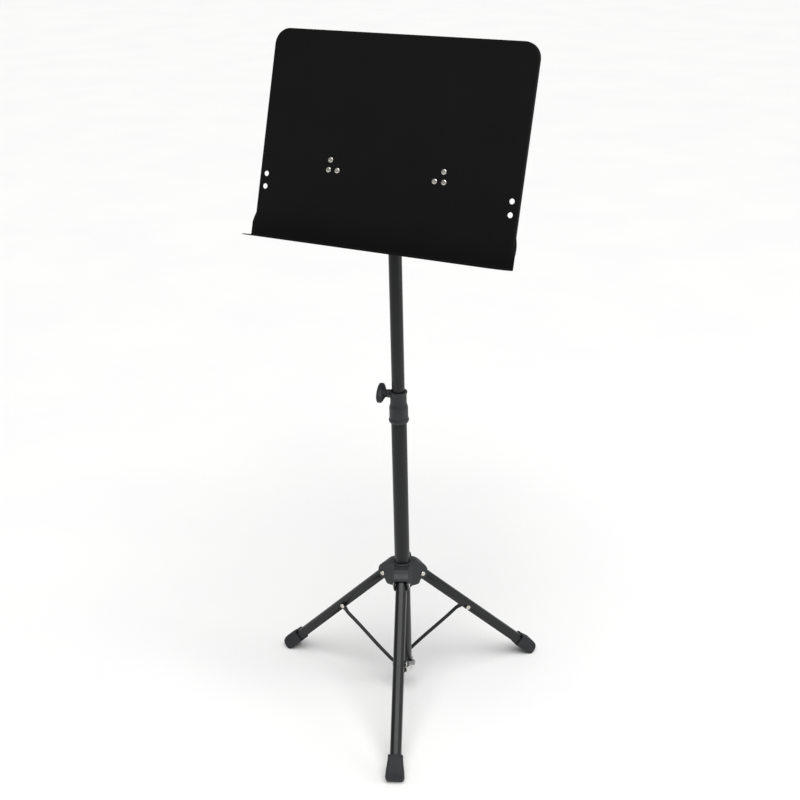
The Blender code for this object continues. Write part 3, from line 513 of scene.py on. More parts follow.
def edge_stations():
    """(inner point, outward direction, fold) from the right bottom over the top to the left."""
    side = DESK_WIDTH / 2 - FOLD_R
    top = DESK_HEIGHT - DESK_CORNER_R
    heights = [LEDGE_FOLD_R, 10.0, FLAT_UP_TO - 1.0]
    heights += [FLAT_UP_TO + (FOLDED_FROM - FLAT_UP_TO) * i / 16 for i in range(17)]
    heights += [66.0, 120.0, 200.0, 280.0]
    right = []
    for v in heights:
        share = min(1.0, max(0.0, (v - FLAT_UP_TO) / (FOLDED_FROM - FLAT_UP_TO)))
        right.append(((side, v), (1.0, 0.0), 90.0 * share))
    for i in range(13):
        a = math.pi / 2 * i / 12
        out = (math.cos(a), math.sin(a))
        inner = DESK_CORNER_R - FOLD_R
        point = (DESK_WIDTH / 2 - DESK_CORNER_R + inner * out[0], top + inner * out[1])
        right.append((point, out, 90.0))
    left = [((-p[0], p[1]), (-o[0], o[1]), fold) for p, o, fold in reversed(right)]
    return right + left


# %% The front skin of the desk
def desk_skin():
    bm = bmesh.new()
    rows = []
    for (u, v), (out_u, out_v), fold in edge_stations():
        row = []
        for out, back in fold_profile(fold):
            row.append(bm.verts.new(on_panel(u + out_u * out, v + out_v * out, -back)))
        rows.append(row)
    for first, second in zip(rows, rows[1:]):
        for k in range(len(first) - 1):
            bm.faces.new((first[k], first[k + 1], second[k + 1], second[k]))
    bm.faces.new([row[0] for row in rows])
    last = list(reversed(rows[-1])) + rows[0]
    for step in range(1, 7):
        a = math.pi / 2 * step / 6
        v = LEDGE_FOLD_R * (1 - math.sin(a))
        ahead = LEDGE_FOLD_R * (1 - math.cos(a))
        new = [bm.verts.new((vert.co.x, -AXIS_BEHIND_PANEL - ahead, v - AXIS_UP_PANEL)) for vert in last]
        for k in range(len(last) - 1):
            bm.faces.new((last[k], last[k + 1], new[k + 1], new[k]))
        last = new
    half = DESK_WIDTH / 2 + DESK_FLARE
    corner = bend((half - LEDGE_CORNER_R, LEDGE - LEDGE_CORNER_R), LEDGE_CORNER_R, 0.0, 90.0, 16)
    outline = [bm.verts.new(on_panel(u, 0.0, ahead)) for u, ahead in corner]
    outline += [bm.verts.new(on_panel(-u, 0.0, ahead)) for u, ahead in reversed(corner)]
    bm.faces.new(last + outline)
    return bm


def round_tool(name, radius, low, high, place, sides=32):
    return made(name, turned([(radius, low), (radius, high)], sides), place)


HANGING_HOLES = ((228.2, 105.5), (228.2, 84.1))
HANGING_HOLE_R = 4.5
BRACKET_RIVETS = ((105.2, 139.4), (107.3, 122.9), (90.5, 122.9))
SIDES = ((-1, "left"), (1, "right"))

panel = made("music_desk", desk_skin(), AT_DESK)
sheet = panel.modifiers.new("sheet", "SOLIDIFY")
sheet.thickness = DESK_SHEET * MM
sheet.offset = -1.0
sheet.use_even_offset = True
plain_mesh(panel)
drills = []
for side, word in SIDES:
    for holes, radius in ((HANGING_HOLES, HANGING_HOLE_R), (BRACKET_RIVETS, RIVET_HOLE_R)):
        for u, v in holes:
            place = AT_DESK @ Matrix.Translation(on_panel(side * u, v)) @ Y_IS_UP
            drills.append(round_tool("drill", radius, -6.0, 6.0, place))
carve(panel, drills)
broken_edges(panel, 0.3, angle=60.0)
fitted(panel, desk_paint, "desk_paint", "desk", "desk_panel")

# %% [markdown]
# ## Rivets
#
# The rivets are blind rivets: a domed flange with a small pit in the middle, where the pulling pin
# broke off. The pit is what makes each head look like a bright ring with a dark centre. The shape
# is turned from a half section, head up, with the set end below.

# %% Rivet and pin heads
def rivet_profile(head_r, head_h, shank_r, low, high, foot_r=0.0, foot_h=0.0):
    points = []
    if foot_r:
        points += [(foot_r * 0.55, low - foot_h), (foot_r * 0.9, low - foot_h * 0.8)]
        points += [(foot_r, low - foot_h * 0.4), (foot_r, low)]
    points += [(shank_r, low), (shank_r, high), (head_r - 0.15, high), (head_r, high + 0.15)]
    pit = head_r * 0.3
    for i in range(1, 8):
        a = math.radians(12 + 70 * i / 7)
        points.append((pit + 0.25 + (head_r - pit - 0.25) * math.cos(a), high + head_h * math.sin(a)))
    points += [(pit, high + head_h - 0.1), (pit * 0.95, high + head_h * 0.35)]
    points += [(pit * 0.7, high + head_h * 0.3), (0.15, high + head_h * 0.42)]
    return points


DESK_SIDE_BACK = AXIS_BEHIND_PANEL - DESK_SHEET - 1.8 - 2 * GAP
for side, word in SIDES:
    for number, (u, v) in enumerate(BRACKET_RIVETS, start=1):
        profile = rivet_profile(4.6, 1.4, RIVET_SHANK_R, DESK_SIDE_BACK, AXIS_BEHIND_PANEL + GAP, 3.2, 1.2)
        place = AT_DESK @ Matrix.Translation((side * u, 0.0, v - AXIS_UP_PANEL))
        place = place @ Matrix.Rotation(math.pi / 2, 4, "X")
        head = made(f"blind_rivet_{word}_{number}", turned(profile), place)
        fitted(head, rivet_steel, "rivet_steel", "desk", f"desk_rivet_{word}_{number}")

# %% [markdown]
# ## The bar and its two brackets
#
# Behind the desk a plain plated bar carries it. Two angle brackets of 1.8 mm sheet hold the bar:
# each has a foot under the three rivets and a rounded ear with a hole. Folding happens over a tool
# with its own radius, so the corner between ear and foot is rounded before the sheet gets its
# thickness, and so both its inside and its outside come out round.

# %% Bar brackets
EAR_U = 84.5
EAR_SHEET = 1.8
BAR_R = 5.0
BAR_HALF = 92.0
FOOT_LOW = -15.5
FOOT_HIGH = 16.5
FOOT_END = 114.0


def bracket_skin(side):
    bm = bmesh.new()
    foot_y = -AXIS_BEHIND_PANEL + DESK_SHEET + GAP
    low = bm.verts.new((side * EAR_U, foot_y, FOOT_LOW))
    high = bm.verts.new((side * EAR_U, foot_y, FOOT_HIGH))
    ear = [bm.verts.new((side * EAR_U, y, z)) for y, z in bend((0.0, 0.0), 9.5, 60.0, -60.0, 20)]
    foot = [(FOOT_END - 3.0, FOOT_LOW), (FOOT_END, FOOT_LOW + 3.0)]
    foot += [(FOOT_END, FOOT_HIGH - 3.0), (FOOT_END - 3.0, FOOT_HIGH)]
    outer = [bm.verts.new((side * u, foot_y, z)) for u, z in foot]
    ear_face = bm.faces.new([low, high] + ear)
    foot_face = bm.faces.new([low] + outer + [high])
    if side < 0:
        ear_face.normal_flip()
        foot_face.normal_flip()
    crease = bm.edges.get((low, high))
    bmesh.ops.bevel(
        bm, geom=[crease], offset=3.0, offset_type="OFFSET", segments=6, profile=0.5, affect="EDGES"
    )
    return bm


def bent_sheet(name, bm, place, thickness):
    bmesh.ops.transform(bm, matrix=Matrix.Scale(MM, 4) @ place, verts=bm.verts)
    mesh = bpy.data.meshes.new(name)
    bm.to_mesh(mesh)
    bm.free()
    mesh.shade_smooth()
    piece = bpy.data.objects.new(name, mesh)
    bpy.context.scene.collection.objects.link(piece)
    sheet = piece.modifiers.new("sheet", "SOLIDIFY")
    sheet.thickness = thickness * MM
    sheet.offset = -1.0
    sheet.use_even_offset = True
    plain_mesh(piece)
    piece.data.set_sharp_from_angle(angle=math.radians(35))
    return piece


for side, word in SIDES:
    ear = bent_sheet(f"bar_ear_{word}", bracket_skin(side), AT_DESK, EAR_SHEET)
    tools = [round_tool("drill", BAR_R + GAP, side * EAR_U - 6, side * EAR_U + 6, AT_DESK @ X_IS_UP, 48)]
    for u, v in BRACKET_RIVETS:
        place = AT_DESK @ Matrix.Translation(on_panel(side * u, v)) @ Y_IS_UP
        tools.append(round_tool("drill", RIVET_HOLE_R, -5.0, 7.0, place))
    carve(ear, tools)
    broken_edges(ear, 0.25, angle=60.0)
    fitted(ear, tube_paint, "tube_paint", "desk", f"bar_bracket_{word}")

bar_profile = [(BAR_R - 0.9, -BAR_HALF), (BAR_R - 0.25, 0.25 - BAR_HALF), (BAR_R, 0.9 - BAR_HALF)]
bar_profile += [(r, -z) for r, z in reversed(bar_profile)]
bar = made("pivot_bar", turned(bar_profile, 64), AT_DESK @ X_IS_UP)
fitted(bar, zinc, "zinc_plate", "desk", "tilt_bar")

# %% [markdown]
# ## The column tubes
#
# Both tubes are welded steel tube with a 1.2 mm wall. The cut ends are deburred, so the edges of
# each wall are rounded. The outline of the wall is turned about the axis, with enough sides that
# the highlight down the tube stays smooth.

# %% Column tubes
def wall(outer, inner, low, high, round_off=0.35):
    near = round_off * 0.3
    half = [(outer - round_off, low), (outer - near, low + near), (outer, low + round_off)]
    top = [(outer, high - round_off), (outer - near, high - near), (outer - round_off, high)]
    back = [(inner + round_off, high), (inner + near, high - near), (inner, high - round_off)]
    foot = [(inner, low + round_off), (inner + near, low + near), (inner + round_off, low)]
    return half + top + back + foot


LOWER_TUBE_R = 14.0
UPPER_TUBE_R = 11.5
TUBE_WALL = 1.2
lower_wall = wall(LOWER_TUBE_R, LOWER_TUBE_R - TUBE_WALL, 62.0, 598.0)
lower = made("column_tube", turned_hollow(lower_wall), at_column())
fitted(lower, tube_paint, "tube_paint", "stand_column", "outer_tube")
upper_wall = wall(UPPER_TUBE_R, UPPER_TUBE_R - TUBE_WALL, 300.0, 985.5)
upper = made("sliding_tube", turned_hollow(upper_wall), at_column())
fitted(upper, tube_paint, "tube_paint", "upper_column", "inner_tube")

# %% [markdown]
# ## The height clamp's collar
#
# The collar is a nylon sleeve over the top of the lower tube. It steps in where the thin tube comes
# out, and it has beads at both ends and a short boss for the clamp screw. Turning makes the sleeve,
# a Boolean adds the boss, and a voxel skin then melts the joint into the fillet that a mould has.

# %% Clamp collar
collar_profile = [
    (15.2, 566.0), (16.4, 566.8), (17.5, 569.0), (18.1, 570.6), (18.2, 572.0), (17.9, 573.4),
    (17.2, 575.0), (16.8, 577.0), (16.8, 595.0), (16.5, 597.0), (15.4, 601.0), (14.9, 603.0),
    (14.7, 605.0), (14.7, 620.9), (15.3, 621.5), (15.9, 622.4), (16.0, 623.4), (16.0, 625.2),
    (15.7, 625.9), (15.0, 626.2), (12.3, 626.2), (11.9, 625.7), (11.8, 598.3), (14.3, 598.3), (14.3, 566.0),
]
SCREW_TURN = 195.0
SCREW_Z = 620.0
AT_HEIGHT_SCREW = at_column(SCREW_TURN, z=SCREW_Z)
collar = made("height_collar", turned_hollow(collar_profile), at_column())
boss_profile = [(7.5, 12.6), (7.5, 19.6), (7.2, 20.2), (6.6, 20.5)]
carve(collar, [made("boss", turned(boss_profile, 64), AT_HEIGHT_SCREW @ X_IS_UP)], "UNION")
carve(collar, [round_tool("bore", SCREW_BORE_R, 6.0, 30.0, AT_HEIGHT_SCREW @ X_IS_UP, 48)])
moulded(collar, 0.45, 3, 0.3)
fitted(collar, nylon, "black_plastic", "stand_column", "clamp_collar")

# %% [markdown]
# ## Clamp screws and wing knobs
#
# Each clamp is a screw in a brass insert, with a two-winged nylon knob moulded on its head. The
# thread is a real helix: the radius rises and falls with the distance along the screw, less a share
# of a turn. The knob is a row of rings whose radius swells twice in each turn, for the two wings.

# %% Thread, insert and knob
THREAD_PITCH = 1.0
KNOB_LENGTH = 18.0


def threaded(low, high, crest=2.9, depth=0.45, sides=24):
    rings = []
    count = int((high - low) / THREAD_PITCH * 6)
    for n in range(count + 1):
        x = low + (high - low) * n / count
        points = []
        for i in range(sides):
            turn = i / sides
            phase = (x / THREAD_PITCH - turn) % 1.0
            r = crest - depth * abs(2 * phase - 1)
            points.append(Vector((x, r * math.cos(math.tau * turn), r * math.sin(math.tau * turn))))
        rings.append(points)
    return through(rings)


WING_LENGTH = 8.5
KNOB_RINGS = (
    # along the screw, radius between the wings, share of the wings' length
    (0.0, 6.2, 0.0), (0.35, 6.8, 0.0), (1.2, 7.1, 0.0), (3.0, 7.8, 0.25), (4.2, 8.3, 0.6),
    (5.5, 9.0, 0.85), (6.6, 9.9, 0.95), (7.7, 10.6, 1.0), (8.8, 11.0, 1.0), (11.5, 11.0, 1.0),
    (14.0, 11.0, 0.99), (15.2, 10.5, 0.92), (16.1, 9.4, 0.8), (16.9, 7.8, 0.64), (17.5, 5.8, 0.46),
    (17.85, 3.4, 0.27), (18.0, 1.0, 0.06),
)


def wing_knob(reach, sides=96):
    rings = []
    for x, radius, wing in KNOB_RINGS:
        points = []
        for i in range(sides):
            a = math.tau * i / sides
            swell = (0.5 + 0.5 * math.cos(2 * a)) ** 1.6
            r = radius + wing * WING_LENGTH * swell
            points.append(Vector((reach - KNOB_LENGTH + x, r * math.sin(a), r * math.cos(a))))
        rings.append(points)
    return through(rings)


def clamp_screw(name, place, turn, body, screw_body, tube_r, boss_end, knob_end):
    spin = place @ Matrix.Rotation(math.radians(turn), 4, "X")
    start = tube_r + GAP
    screw = made(f"{name}_thread", threaded(start + 2.5, knob_end - 4.0), spin, sharp=60.0)
    fitted(screw, rivet_steel, "rivet_steel", screw_body, f"{name}_screw")
    knob = made(f"{name}_wing_knob", wing_knob(knob_end), spin, sharp=50.0)
    carve(knob, [round_tool("socket", SCREW_HOLE_R, boss_end - 2.0, knob_end - 3.7, spin @ X_IS_UP)])
    fitted(knob, nylon, "black_plastic", screw_body, f"{name}_knob")
    low = start + 2.6
    outline = [(3.2, low), (5.3, low), (5.3, boss_end - 0.5), (4.9, boss_end), (3.6, boss_end)]
    outline += [(3.2, boss_end - 0.4)]
    insert = made(f"{name}_brass_insert", turned_hollow(outline, 48), place @ X_IS_UP)
    fitted(insert, brass, "brass", body, f"{name}_insert")


clamp_screw("height", AT_HEIGHT_SCREW, 54.0, "stand_column", "height_clamp", UPPER_TUBE_R, 20.5, 39.0)

# %% [markdown]
# ## The sliding hub
#
# The hub carries the three legs. It is one moulding: a sleeve round the tube, and three housings
# that each roof over a leg and hold its pivot between two cheeks. Carving it from overlapping
# blocks is quick but leaves knife-edge corners, so the block goes through the same voxel skin as
# the collar, which leaves a fillet wherever two walls meet.

# %% Hub
HUB_LOW = 232.0
HUB_SCREW_TURN = 114.5
HUB_SCREW_Z = 262.0
HOUSING_HALF = 14.0
SLOT_HALF = 10.4


def housing_side():
    foot = HUB_LOW + 0.4
    outline = [(12.0, foot), (24.0, foot), (26.2, 233.0), (27.9, 234.2), (29.2, 236.4)]
    outline += [(30.2, 239.4), (31.6, 241.6)]
    outline += bend(LEG_PIVOT, 10.0, -105.0, 0.0, 16)
    outline += [(45.6, 257.5), (45.0, 262.0), (43.6, 265.6), (41.5, 268.7), (36.0, 274.0)]
    outline += [(28.0, 279.0), (20.0, 281.5), (12.0, 282.0)]
    return outline


def slot_side():
    outline = [(22.0, 225.0), (60.0, 225.0), (60.0, 263.0)]
    return outline + [(43.0, 263.6), (41.0, 265.6), (22.0, 272.6)]


sleeve = [(18.4, HUB_LOW), (19.0, HUB_LOW + 0.6), (19.0, 276.8), (18.4, 278.0), (17.8, 278.5)]
sleeve += [(17.8, 280.9), (17.5, 281.4), (16.8, 281.9), (16.6, 282.4), (16.6, 283.6), (16.2, 284.0)]
hub = made("leg_hub_moulding", turned(sleeve, 96), at_column())
AT_HUB_SCREW = at_column(HUB_SCREW_TURN, z=HUB_SCREW_Z)
blocks = []
for turn in LEG_TURNS:
    housing = extruded(housing_side(), -HOUSING_HALF, HOUSING_HALF)
    blocks.append(made("housing", housing, at_column(turn)))
hub_boss = [(8.0, 15.0), (8.0, 26.0), (7.7, 26.6), (7.1, 27.0)]
blocks.append(made("boss", turned(hub_boss, 64), AT_HUB_SCREW @ X_IS_UP))
carve(hub, blocks, "UNION")
tools = [round_tool("bore", 14.3, 220.0, 300.0, at_column(), 96)]
tools.append(round_tool("screw_bore", SCREW_BORE_R, 8.0, 40.0, AT_HUB_SCREW @ X_IS_UP, 48))
for turn in LEG_TURNS:
    tools.append(made("slot", extruded(slot_side(), -SLOT_HALF, SLOT_HALF), at_column(turn)))
    pivot = at_column(turn, x=LEG_PIVOT[0], z=LEG_PIVOT[1]) @ Y_IS_UP
    tools.append(round_tool("pivot_hole", PIVOT_HOLE_R, -20.0, 20.0, pivot))
carve(hub, tools)
moulded(hub, 0.55, 8, 0.3)
fitted(hub, nylon, "black_plastic", "hub", "leg_hub")
clamp_screw("hub", AT_HUB_SCREW, 30.0, "hub", "hub_clamp", LOWER_TUBE_R, 27.0, 48.0)

# %% [markdown]
# ## Legs
#
# A leg is a strip of 1.5 mm steel rolled into an upside-down channel with a well-rounded back. The
# section is drawn once, as (sideways, up) points round both faces of the sheet, and run along the
# leg. The two holes are drilled afterwards.

# %% Leg channel
def channel_section():
    half = LEG_WIDTH / 2
    low = -LEG_DEPTH / 2
    high = LEG_DEPTH / 2
    middle = half - LEG_CORNER_R
    inner = LEG_CORNER_R - LEG_WALL
    outside = bend((middle, high - LEG_CORNER_R), LEG_CORNER_R, 0.0, 90.0, 14)
    outside += bend((-middle, high - LEG_CORNER_R), LEG_CORNER_R, 90.0, 180.0, 14)
    inside = bend((-middle, high - LEG_CORNER_R), inner, 180.0, 90.0, 14)
    inside += bend((middle, high - LEG_CORNER_R), inner, 90.0, 0.0, 14)
    return (
        [(half - 0.3, low), (half, low + 0.3)]
        + outside
        + [(-half, low + 0.3), (0.3 - half, low), (LEG_WALL - half - 0.3, low)]
        + [(LEG_WALL - half, low + 0.3)]
        + inside
        + [(half - LEG_WALL, low + 0.3), (half - LEG_WALL + 0.3, low)]
    )


for number, turn in enumerate(LEG_TURNS, start=1):
    stations = [LEG_ENDS[0], 60.0, STRUT_RIVET[0], 230.0, LEG_ENDS[1]]
    section = channel_section()
    leg = made(
        f"leg_channel_{number}",
        through([[Vector((x, y, z)) for y, z in section] for x in stations]),
        along_leg(turn),
    )
    tools = [round_tool("pivot_hole", PIVOT_HOLE_R, -20.0, 20.0, along_leg(turn) @ Y_IS_UP)]
    at_strut = along_leg(turn) @ Matrix.Translation((STRUT_RIVET[0], 0.0, STRUT_RIVET[1])) @ Y_IS_UP
    tools.append(round_tool("rivet_hole", RIVET_HOLE_R, -20.0, 20.0, at_strut))
    carve(leg, tools)
    fitted(leg, tube_paint, "tube_paint", f"leg_{number}_body", f"leg_{number}")

    pin = rivet_profile(4.3, 1.7, PIVOT_SHANK_R, -14.3, 14.3, 4.3, 1.4)
    pivot = made(f"pivot_rivet_{number}", turned(pin), along_leg(turn) @ Y_IS_UP)
    fitted(pivot, rivet_steel, "rivet_steel", "hub", f"leg_pivot_{number}")

    half = LEG_WIDTH / 2
    stud = rivet_profile(4.5, 1.3, RIVET_SHANK_R, GAP - half, half + GAP)
    flipped = at_strut @ Matrix.Rotation(math.pi, 4, "X")
    rivet = made(f"strut_stud_{number}", turned(stud), flipped)
    fitted(rivet, rivet_steel, "rivet_steel", f"leg_{number}_body", f"strut_rivet_{number}")

# %% [markdown]
# ## Boots
#
# A boot widens towards the floor, so that it stands steady, and its nose is rounded from the side.
# Each ring is a rounded rectangle whose width and whose top and bottom change along the leg. The
# plane of the floor cuts the sole flat, and a box-shaped socket lets the leg in.

# %% Rubber boot
BOOT_START = 306.0
BOOT_RINGS = (
    # along the leg, half width, bottom, top, corner radius
    (306.0, 12.2, -11.5, 11.5, 4.0), (306.5, 12.9, -12.2, 12.2, 4.4), (307.2, 13.2, -12.5, 12.5, 4.6),
    (309.6, 13.3, -12.5, 12.5, 4.6), (310.3, 12.9, -12.1, 12.1, 4.4), (311.2, 13.0, -12.1, 12.1, 4.4),
    (318.0, 13.7, -12.5, 12.8, 4.5), (326.0, 14.8, -12.8, 13.6, 4.8), (334.0, 15.9, -12.8, 14.2, 5.2),
    (340.0, 16.4, -12.5, 13.4, 5.6), (344.0, 16.7, -12.2, 12.1, 5.8), (347.0, 16.3, -11.6, 9.5, 5.4),
    (349.2, 15.2, -10.6, 6.4, 4.6), (350.3, 13.8, -9.4, 3.4, 3.6), (350.8, 12.6, -8.4, 0.8, 2.6),
)


def boot_ring(x, half_wide, low, high, corner):
    points = bend((half_wide - corner, high - corner), corner, 0.0, 90.0, 8)
    points += bend((corner - half_wide, high - corner), corner, 90.0, 180.0, 8)
    points += bend((corner - half_wide, low + corner), corner, 180.0, 270.0, 8)
    points += bend((half_wide - corner, low + corner), corner, 270.0, 360.0, 8)
    return [Vector((x, y, z)) for y, z in points]


def boot_body():
    bm = through([boot_ring(*row) for row in BOOT_RINGS])
    slope = math.radians(LEG_SLOPE)
    down = Vector((math.sin(slope), 0.0, -math.cos(slope)))
    everything = list(bm.verts) + list(bm.edges) + list(bm.faces)
    cut = bmesh.ops.bisect_plane(
        bm, geom=everything, dist=1e-5, plane_co=down * LEG_PIVOT[1], plane_no=down, clear_outer=True
    )
    edge = [item for item in cut["geom_cut"] if isinstance(item, bmesh.types.BMEdge)]
    bmesh.ops.contextual_create(bm, geom=edge)
    return bm


for number, turn in enumerate(LEG_TURNS, start=1):
    boot = made(f"rubber_boot_{number}", boot_body(), along_leg(turn), sharp=40.0)
    half = LEG_WIDTH / 2 + GAP
    room = LEG_DEPTH / 2 + GAP
    walls = [(BOOT_START - 5.0, -room), (338.3, -room), (338.3, room), (BOOT_START - 5.0, room)]
    carve(boot, [made("socket", extruded(walls, -half, half), along_leg(turn))])
    fitted(boot, rubber, "boot_rubber", f"leg_{number}_body", f"leg_boot_{number}")

# %% [markdown]
# ## Struts
#
# A strut is a 7 mm steel rod, flattened and rounded at both ends and drilled for a rivet. It
# stays beside the leg and swings in near the top to lie against the leg's wall. The rings go from
# a flat round-ended section to a round one and back.

# %% Spreader struts
def eased(value, start, end):
    t = min(1.0, max(0.0, (value - start) / (end - start)))
    return t * t * (3 - 2 * t)


FACE_OF_BRACKET = 15.5
END_OF_BRACKET = 16.5
CUP_WALL = 2.0
LOWER_EYE = FACE_OF_BRACKET + GAP + EYE_THICK / 2
UPPER_EYE = LEG_WIDTH / 2 + GAP + EYE_THICK / 2
ROD_ASIDE = 14.5
PAST_TUBE = 0.8  # the rod runs this much further out where it passes the tube


def strut_body(sides=28):
    length = strut_run()[0]
    tip = [-math.cos(math.radians(90.0 * i / 9)) * EYE_R for i in range(10)]
    tip[0] = -EYE_R * 0.997
    stations = tip + [1.8, 3.2, 4.8, 6.5, 8.5, 10.5, 12.5, 14.5, 16.5, 18.5, 20.5, 22.5, 24.5]
    first = 24.5
    last = length - 30.0
    stations += [first + (last - first) * i / 14 for i in range(1, 15)]
    stations += [length - x for x in (27.0, 24.0, 21.0, 18.5, 16.0, 13.5, 11.0, 8.5, 6.0, 3.5, 1.5)]
    stations += [length - x for x in reversed(tip)]
    rings = []
    for x in stations:
        rounded = eased(x, 18.0, 34.0) * eased(length - x, 8.0, 20.0)
        thick = EYE_THICK / 2 + (ROD_R - EYE_THICK / 2) * rounded
        beyond = max(-x, x - length, 0.0)
        from_pin = min(abs(x), abs(length - x))
        high = EYE_R - (EYE_R - ROD_R) * eased(from_pin, 3.0, 18.0)
        if beyond:
            high = math.sqrt(max(EYE_R**2 - beyond**2, 0.15))
        middle = LOWER_EYE + PAST_TUBE * eased(x, 11.0, 34.0)
        middle += (ROD_ASIDE - middle) * eased(x, 50.0, 142.0)
        middle += (UPPER_EYE - middle) * eased(x, length - 18.0, length - 6.0)
        power = 0.35 + 0.65 * rounded
        points = []
        for i in range(sides):
            a = math.tau * (i + 0.5) / sides
            y = middle + thick * math.copysign(abs(math.cos(a)) ** power, math.cos(a))
            z = high * math.copysign(abs(math.sin(a)) ** power, math.sin(a))
            points.append(Vector((x, y, z)))
        rings.append(points)
    return through(rings)


for number, turn in enumerate(LEG_TURNS, start=1):
    length = strut_run()[0]
    place = along_strut(turn)
    far = place @ Matrix.Translation((length, 0.0, 0.0)) @ Y_IS_UP
    strut = made(f"spreader_strut_{number}", strut_body(), place, sharp=45.0)
    drills = [round_tool("drill", RIVET_HOLE_R, 8.0, 24.0, place @ Y_IS_UP)]
    drills.append(round_tool("drill", RIVET_HOLE_R, 8.0, 24.0, far))
    carve(strut, drills)
    fitted(strut, tube_paint, "tube_paint", f"strut_{number}_body", f"strut_{number}")

    inside = LEG_WIDTH / 2 + GAP
    head = rivet_profile(4.5, 1.5, RIVET_SHANK_R, inside, inside + EYE_THICK + GAP)
    rivet = made(f"strut_head_{number}", turned(head), far)
    fitted(rivet, rivet_steel, "rivet_steel", f"strut_{number}_body", f"strut_rivet_head_{number}")

    outside = LOWER_EYE + EYE_THICK / 2 + GAP
    pin = rivet_profile(4.0, 1.5, RIVET_SHANK_R, FACE_OF_BRACKET - CUP_WALL - GAP, outside, 3.2, 1.3)
    level = at_column(turn, x=STRUT_PIN[0], z=STRUT_PIN[1]) @ Y_IS_UP
    joint = made(f"strut_foot_pin_{number}", turned(pin), level)
    fitted(joint, rivet_steel, "rivet_steel", "stand_column", f"strut_pin_{number}")

# %% [markdown]
# ## The spreader bracket
#
# Under the tube a pressed cup of plated steel holds the feet of the struts. Seen from above it has
# six sides: three wide ones that the struts lie against, and three short ones between them. Its
# outline is where those six lines meet, and a bevel gives the rounded corners of a pressing.

# %% Spreader bracket and its screw
def facing(turn):
    return Vector((math.cos(math.radians(turn)), math.sin(math.radians(turn))))


def bracket_outline(inset):
    lines = []
    for turn in LEG_TURNS:
        lines.append(((turn + 90.0) % 360.0, FACE_OF_BRACKET - inset))
        lines.append(((turn + 180.0) % 360.0, END_OF_BRACKET - inset))
    lines.sort()
    corners = []
    for (turn_a, far_a), (turn_b, far_b) in zip(lines, lines[1:] + lines[:1]):
        a = facing(turn_a)
        b = facing(turn_b)
        cross = a.x * b.y - a.y * b.x
        corners.append(((far_a * b.y - far_b * a.y) / cross, (a.x * far_b - b.x * far_a) / cross))
    return corners


def cup(inset, low, high):
    return through([[Vector((x, y, z)) for x, y in bracket_outline(inset)] for z in (low, high)])


bracket = broken_edges(made("foot_cup", cup(0.0, 48.5, 61.5), at_column()), 1.4, segments=4)
hollow = broken_edges(made("hollow", cup(CUP_WALL, 40.0, 59.5), at_column()), 0.6, segments=2)
tools = [hollow, round_tool("hole", 2.7, 50.0, 70.0, at_column())]
for turn in LEG_TURNS:
    level = at_column(turn, x=STRUT_PIN[0], z=STRUT_PIN[1]) @ Y_IS_UP
    tools.append(round_tool("pin_hole", RIVET_HOLE_R, 10.0, 18.0, level))
carve(bracket, tools)
fitted(bracket, zinc, "zinc_plate", "stand_column", "spreader_bracket")

foot_profile = [(2.6, 55.6), (3.6, 55.7), (4.5, 56.4), (4.9, 57.4), (4.9, 59.2), (2.3, 59.2), (2.3, 78.0)]
foot_screw = made("foot_screw", turned(foot_profile), at_column())
blade = [(-2.6, 54.0), (2.6, 54.0), (1.6, 57.6), (-1.6, 57.6)]
recess = [made("recess", extruded(blade, -0.45, 0.45), at_column(turn)) for turn in (0.0, 90.0)]
carve(foot_screw, recess)
fitted(foot_screw, rivet_steel, "rivet_steel", "stand_column", "bracket_screw")

# %% [markdown]
# ## The clamp head behind the desk
#
# The head is a nylon block on top of the sliding tube, bored across for the bar and slit below the
# bore, so that the tilt screw can squeeze it. A nut on one side, and a washer and wing knob on the
# other, do the squeezing.

# %% Clamp head, nut, washer and tilt knob
TILT_SCREW_Z = 1002.0
head = made(
    "tilt_clamp_head",
    turned([(12.9, 962.0), (13.7, 962.5), (14.0, 963.3), (14.0, 988.0), (12.6, 992.0)], 96),
    at_column(),
)
jaw = [(x, z) for x, z in bend((0.0, TILT_Z), 11.5, 0.0, 180.0, 28)] + [(-11.5, 989.0), (11.5, 989.0)]
carve(head, [made("jaws", extruded(jaw, -12.0, 12.0), at_column(90.0))], "UNION")
tools = [round_tool("socket", 11.8, 955.0, 985.8, at_column(), 96)]
tools.append(round_tool("bar_bore", BAR_R + GAP, -20.0, 20.0, at_column(z=TILT_Z) @ X_IS_UP, 64))
slit = [(-1.2, 994.5), (1.2, 994.5), (1.2, TILT_Z), (-1.2, TILT_Z)]
tools.append(made("slit", extruded(slit, -20.0, 20.0), at_column(90.0)))
tools.append(round_tool("screw_hole", SCREW_HOLE_R, -20.0, 20.0, at_column(z=TILT_SCREW_Z) @ Y_IS_UP))
carve(head, tools)
moulded(head, 0.4, 3, 0.35)
fitted(head, nylon, "black_plastic", "upper_column", "desk_clamp_head")

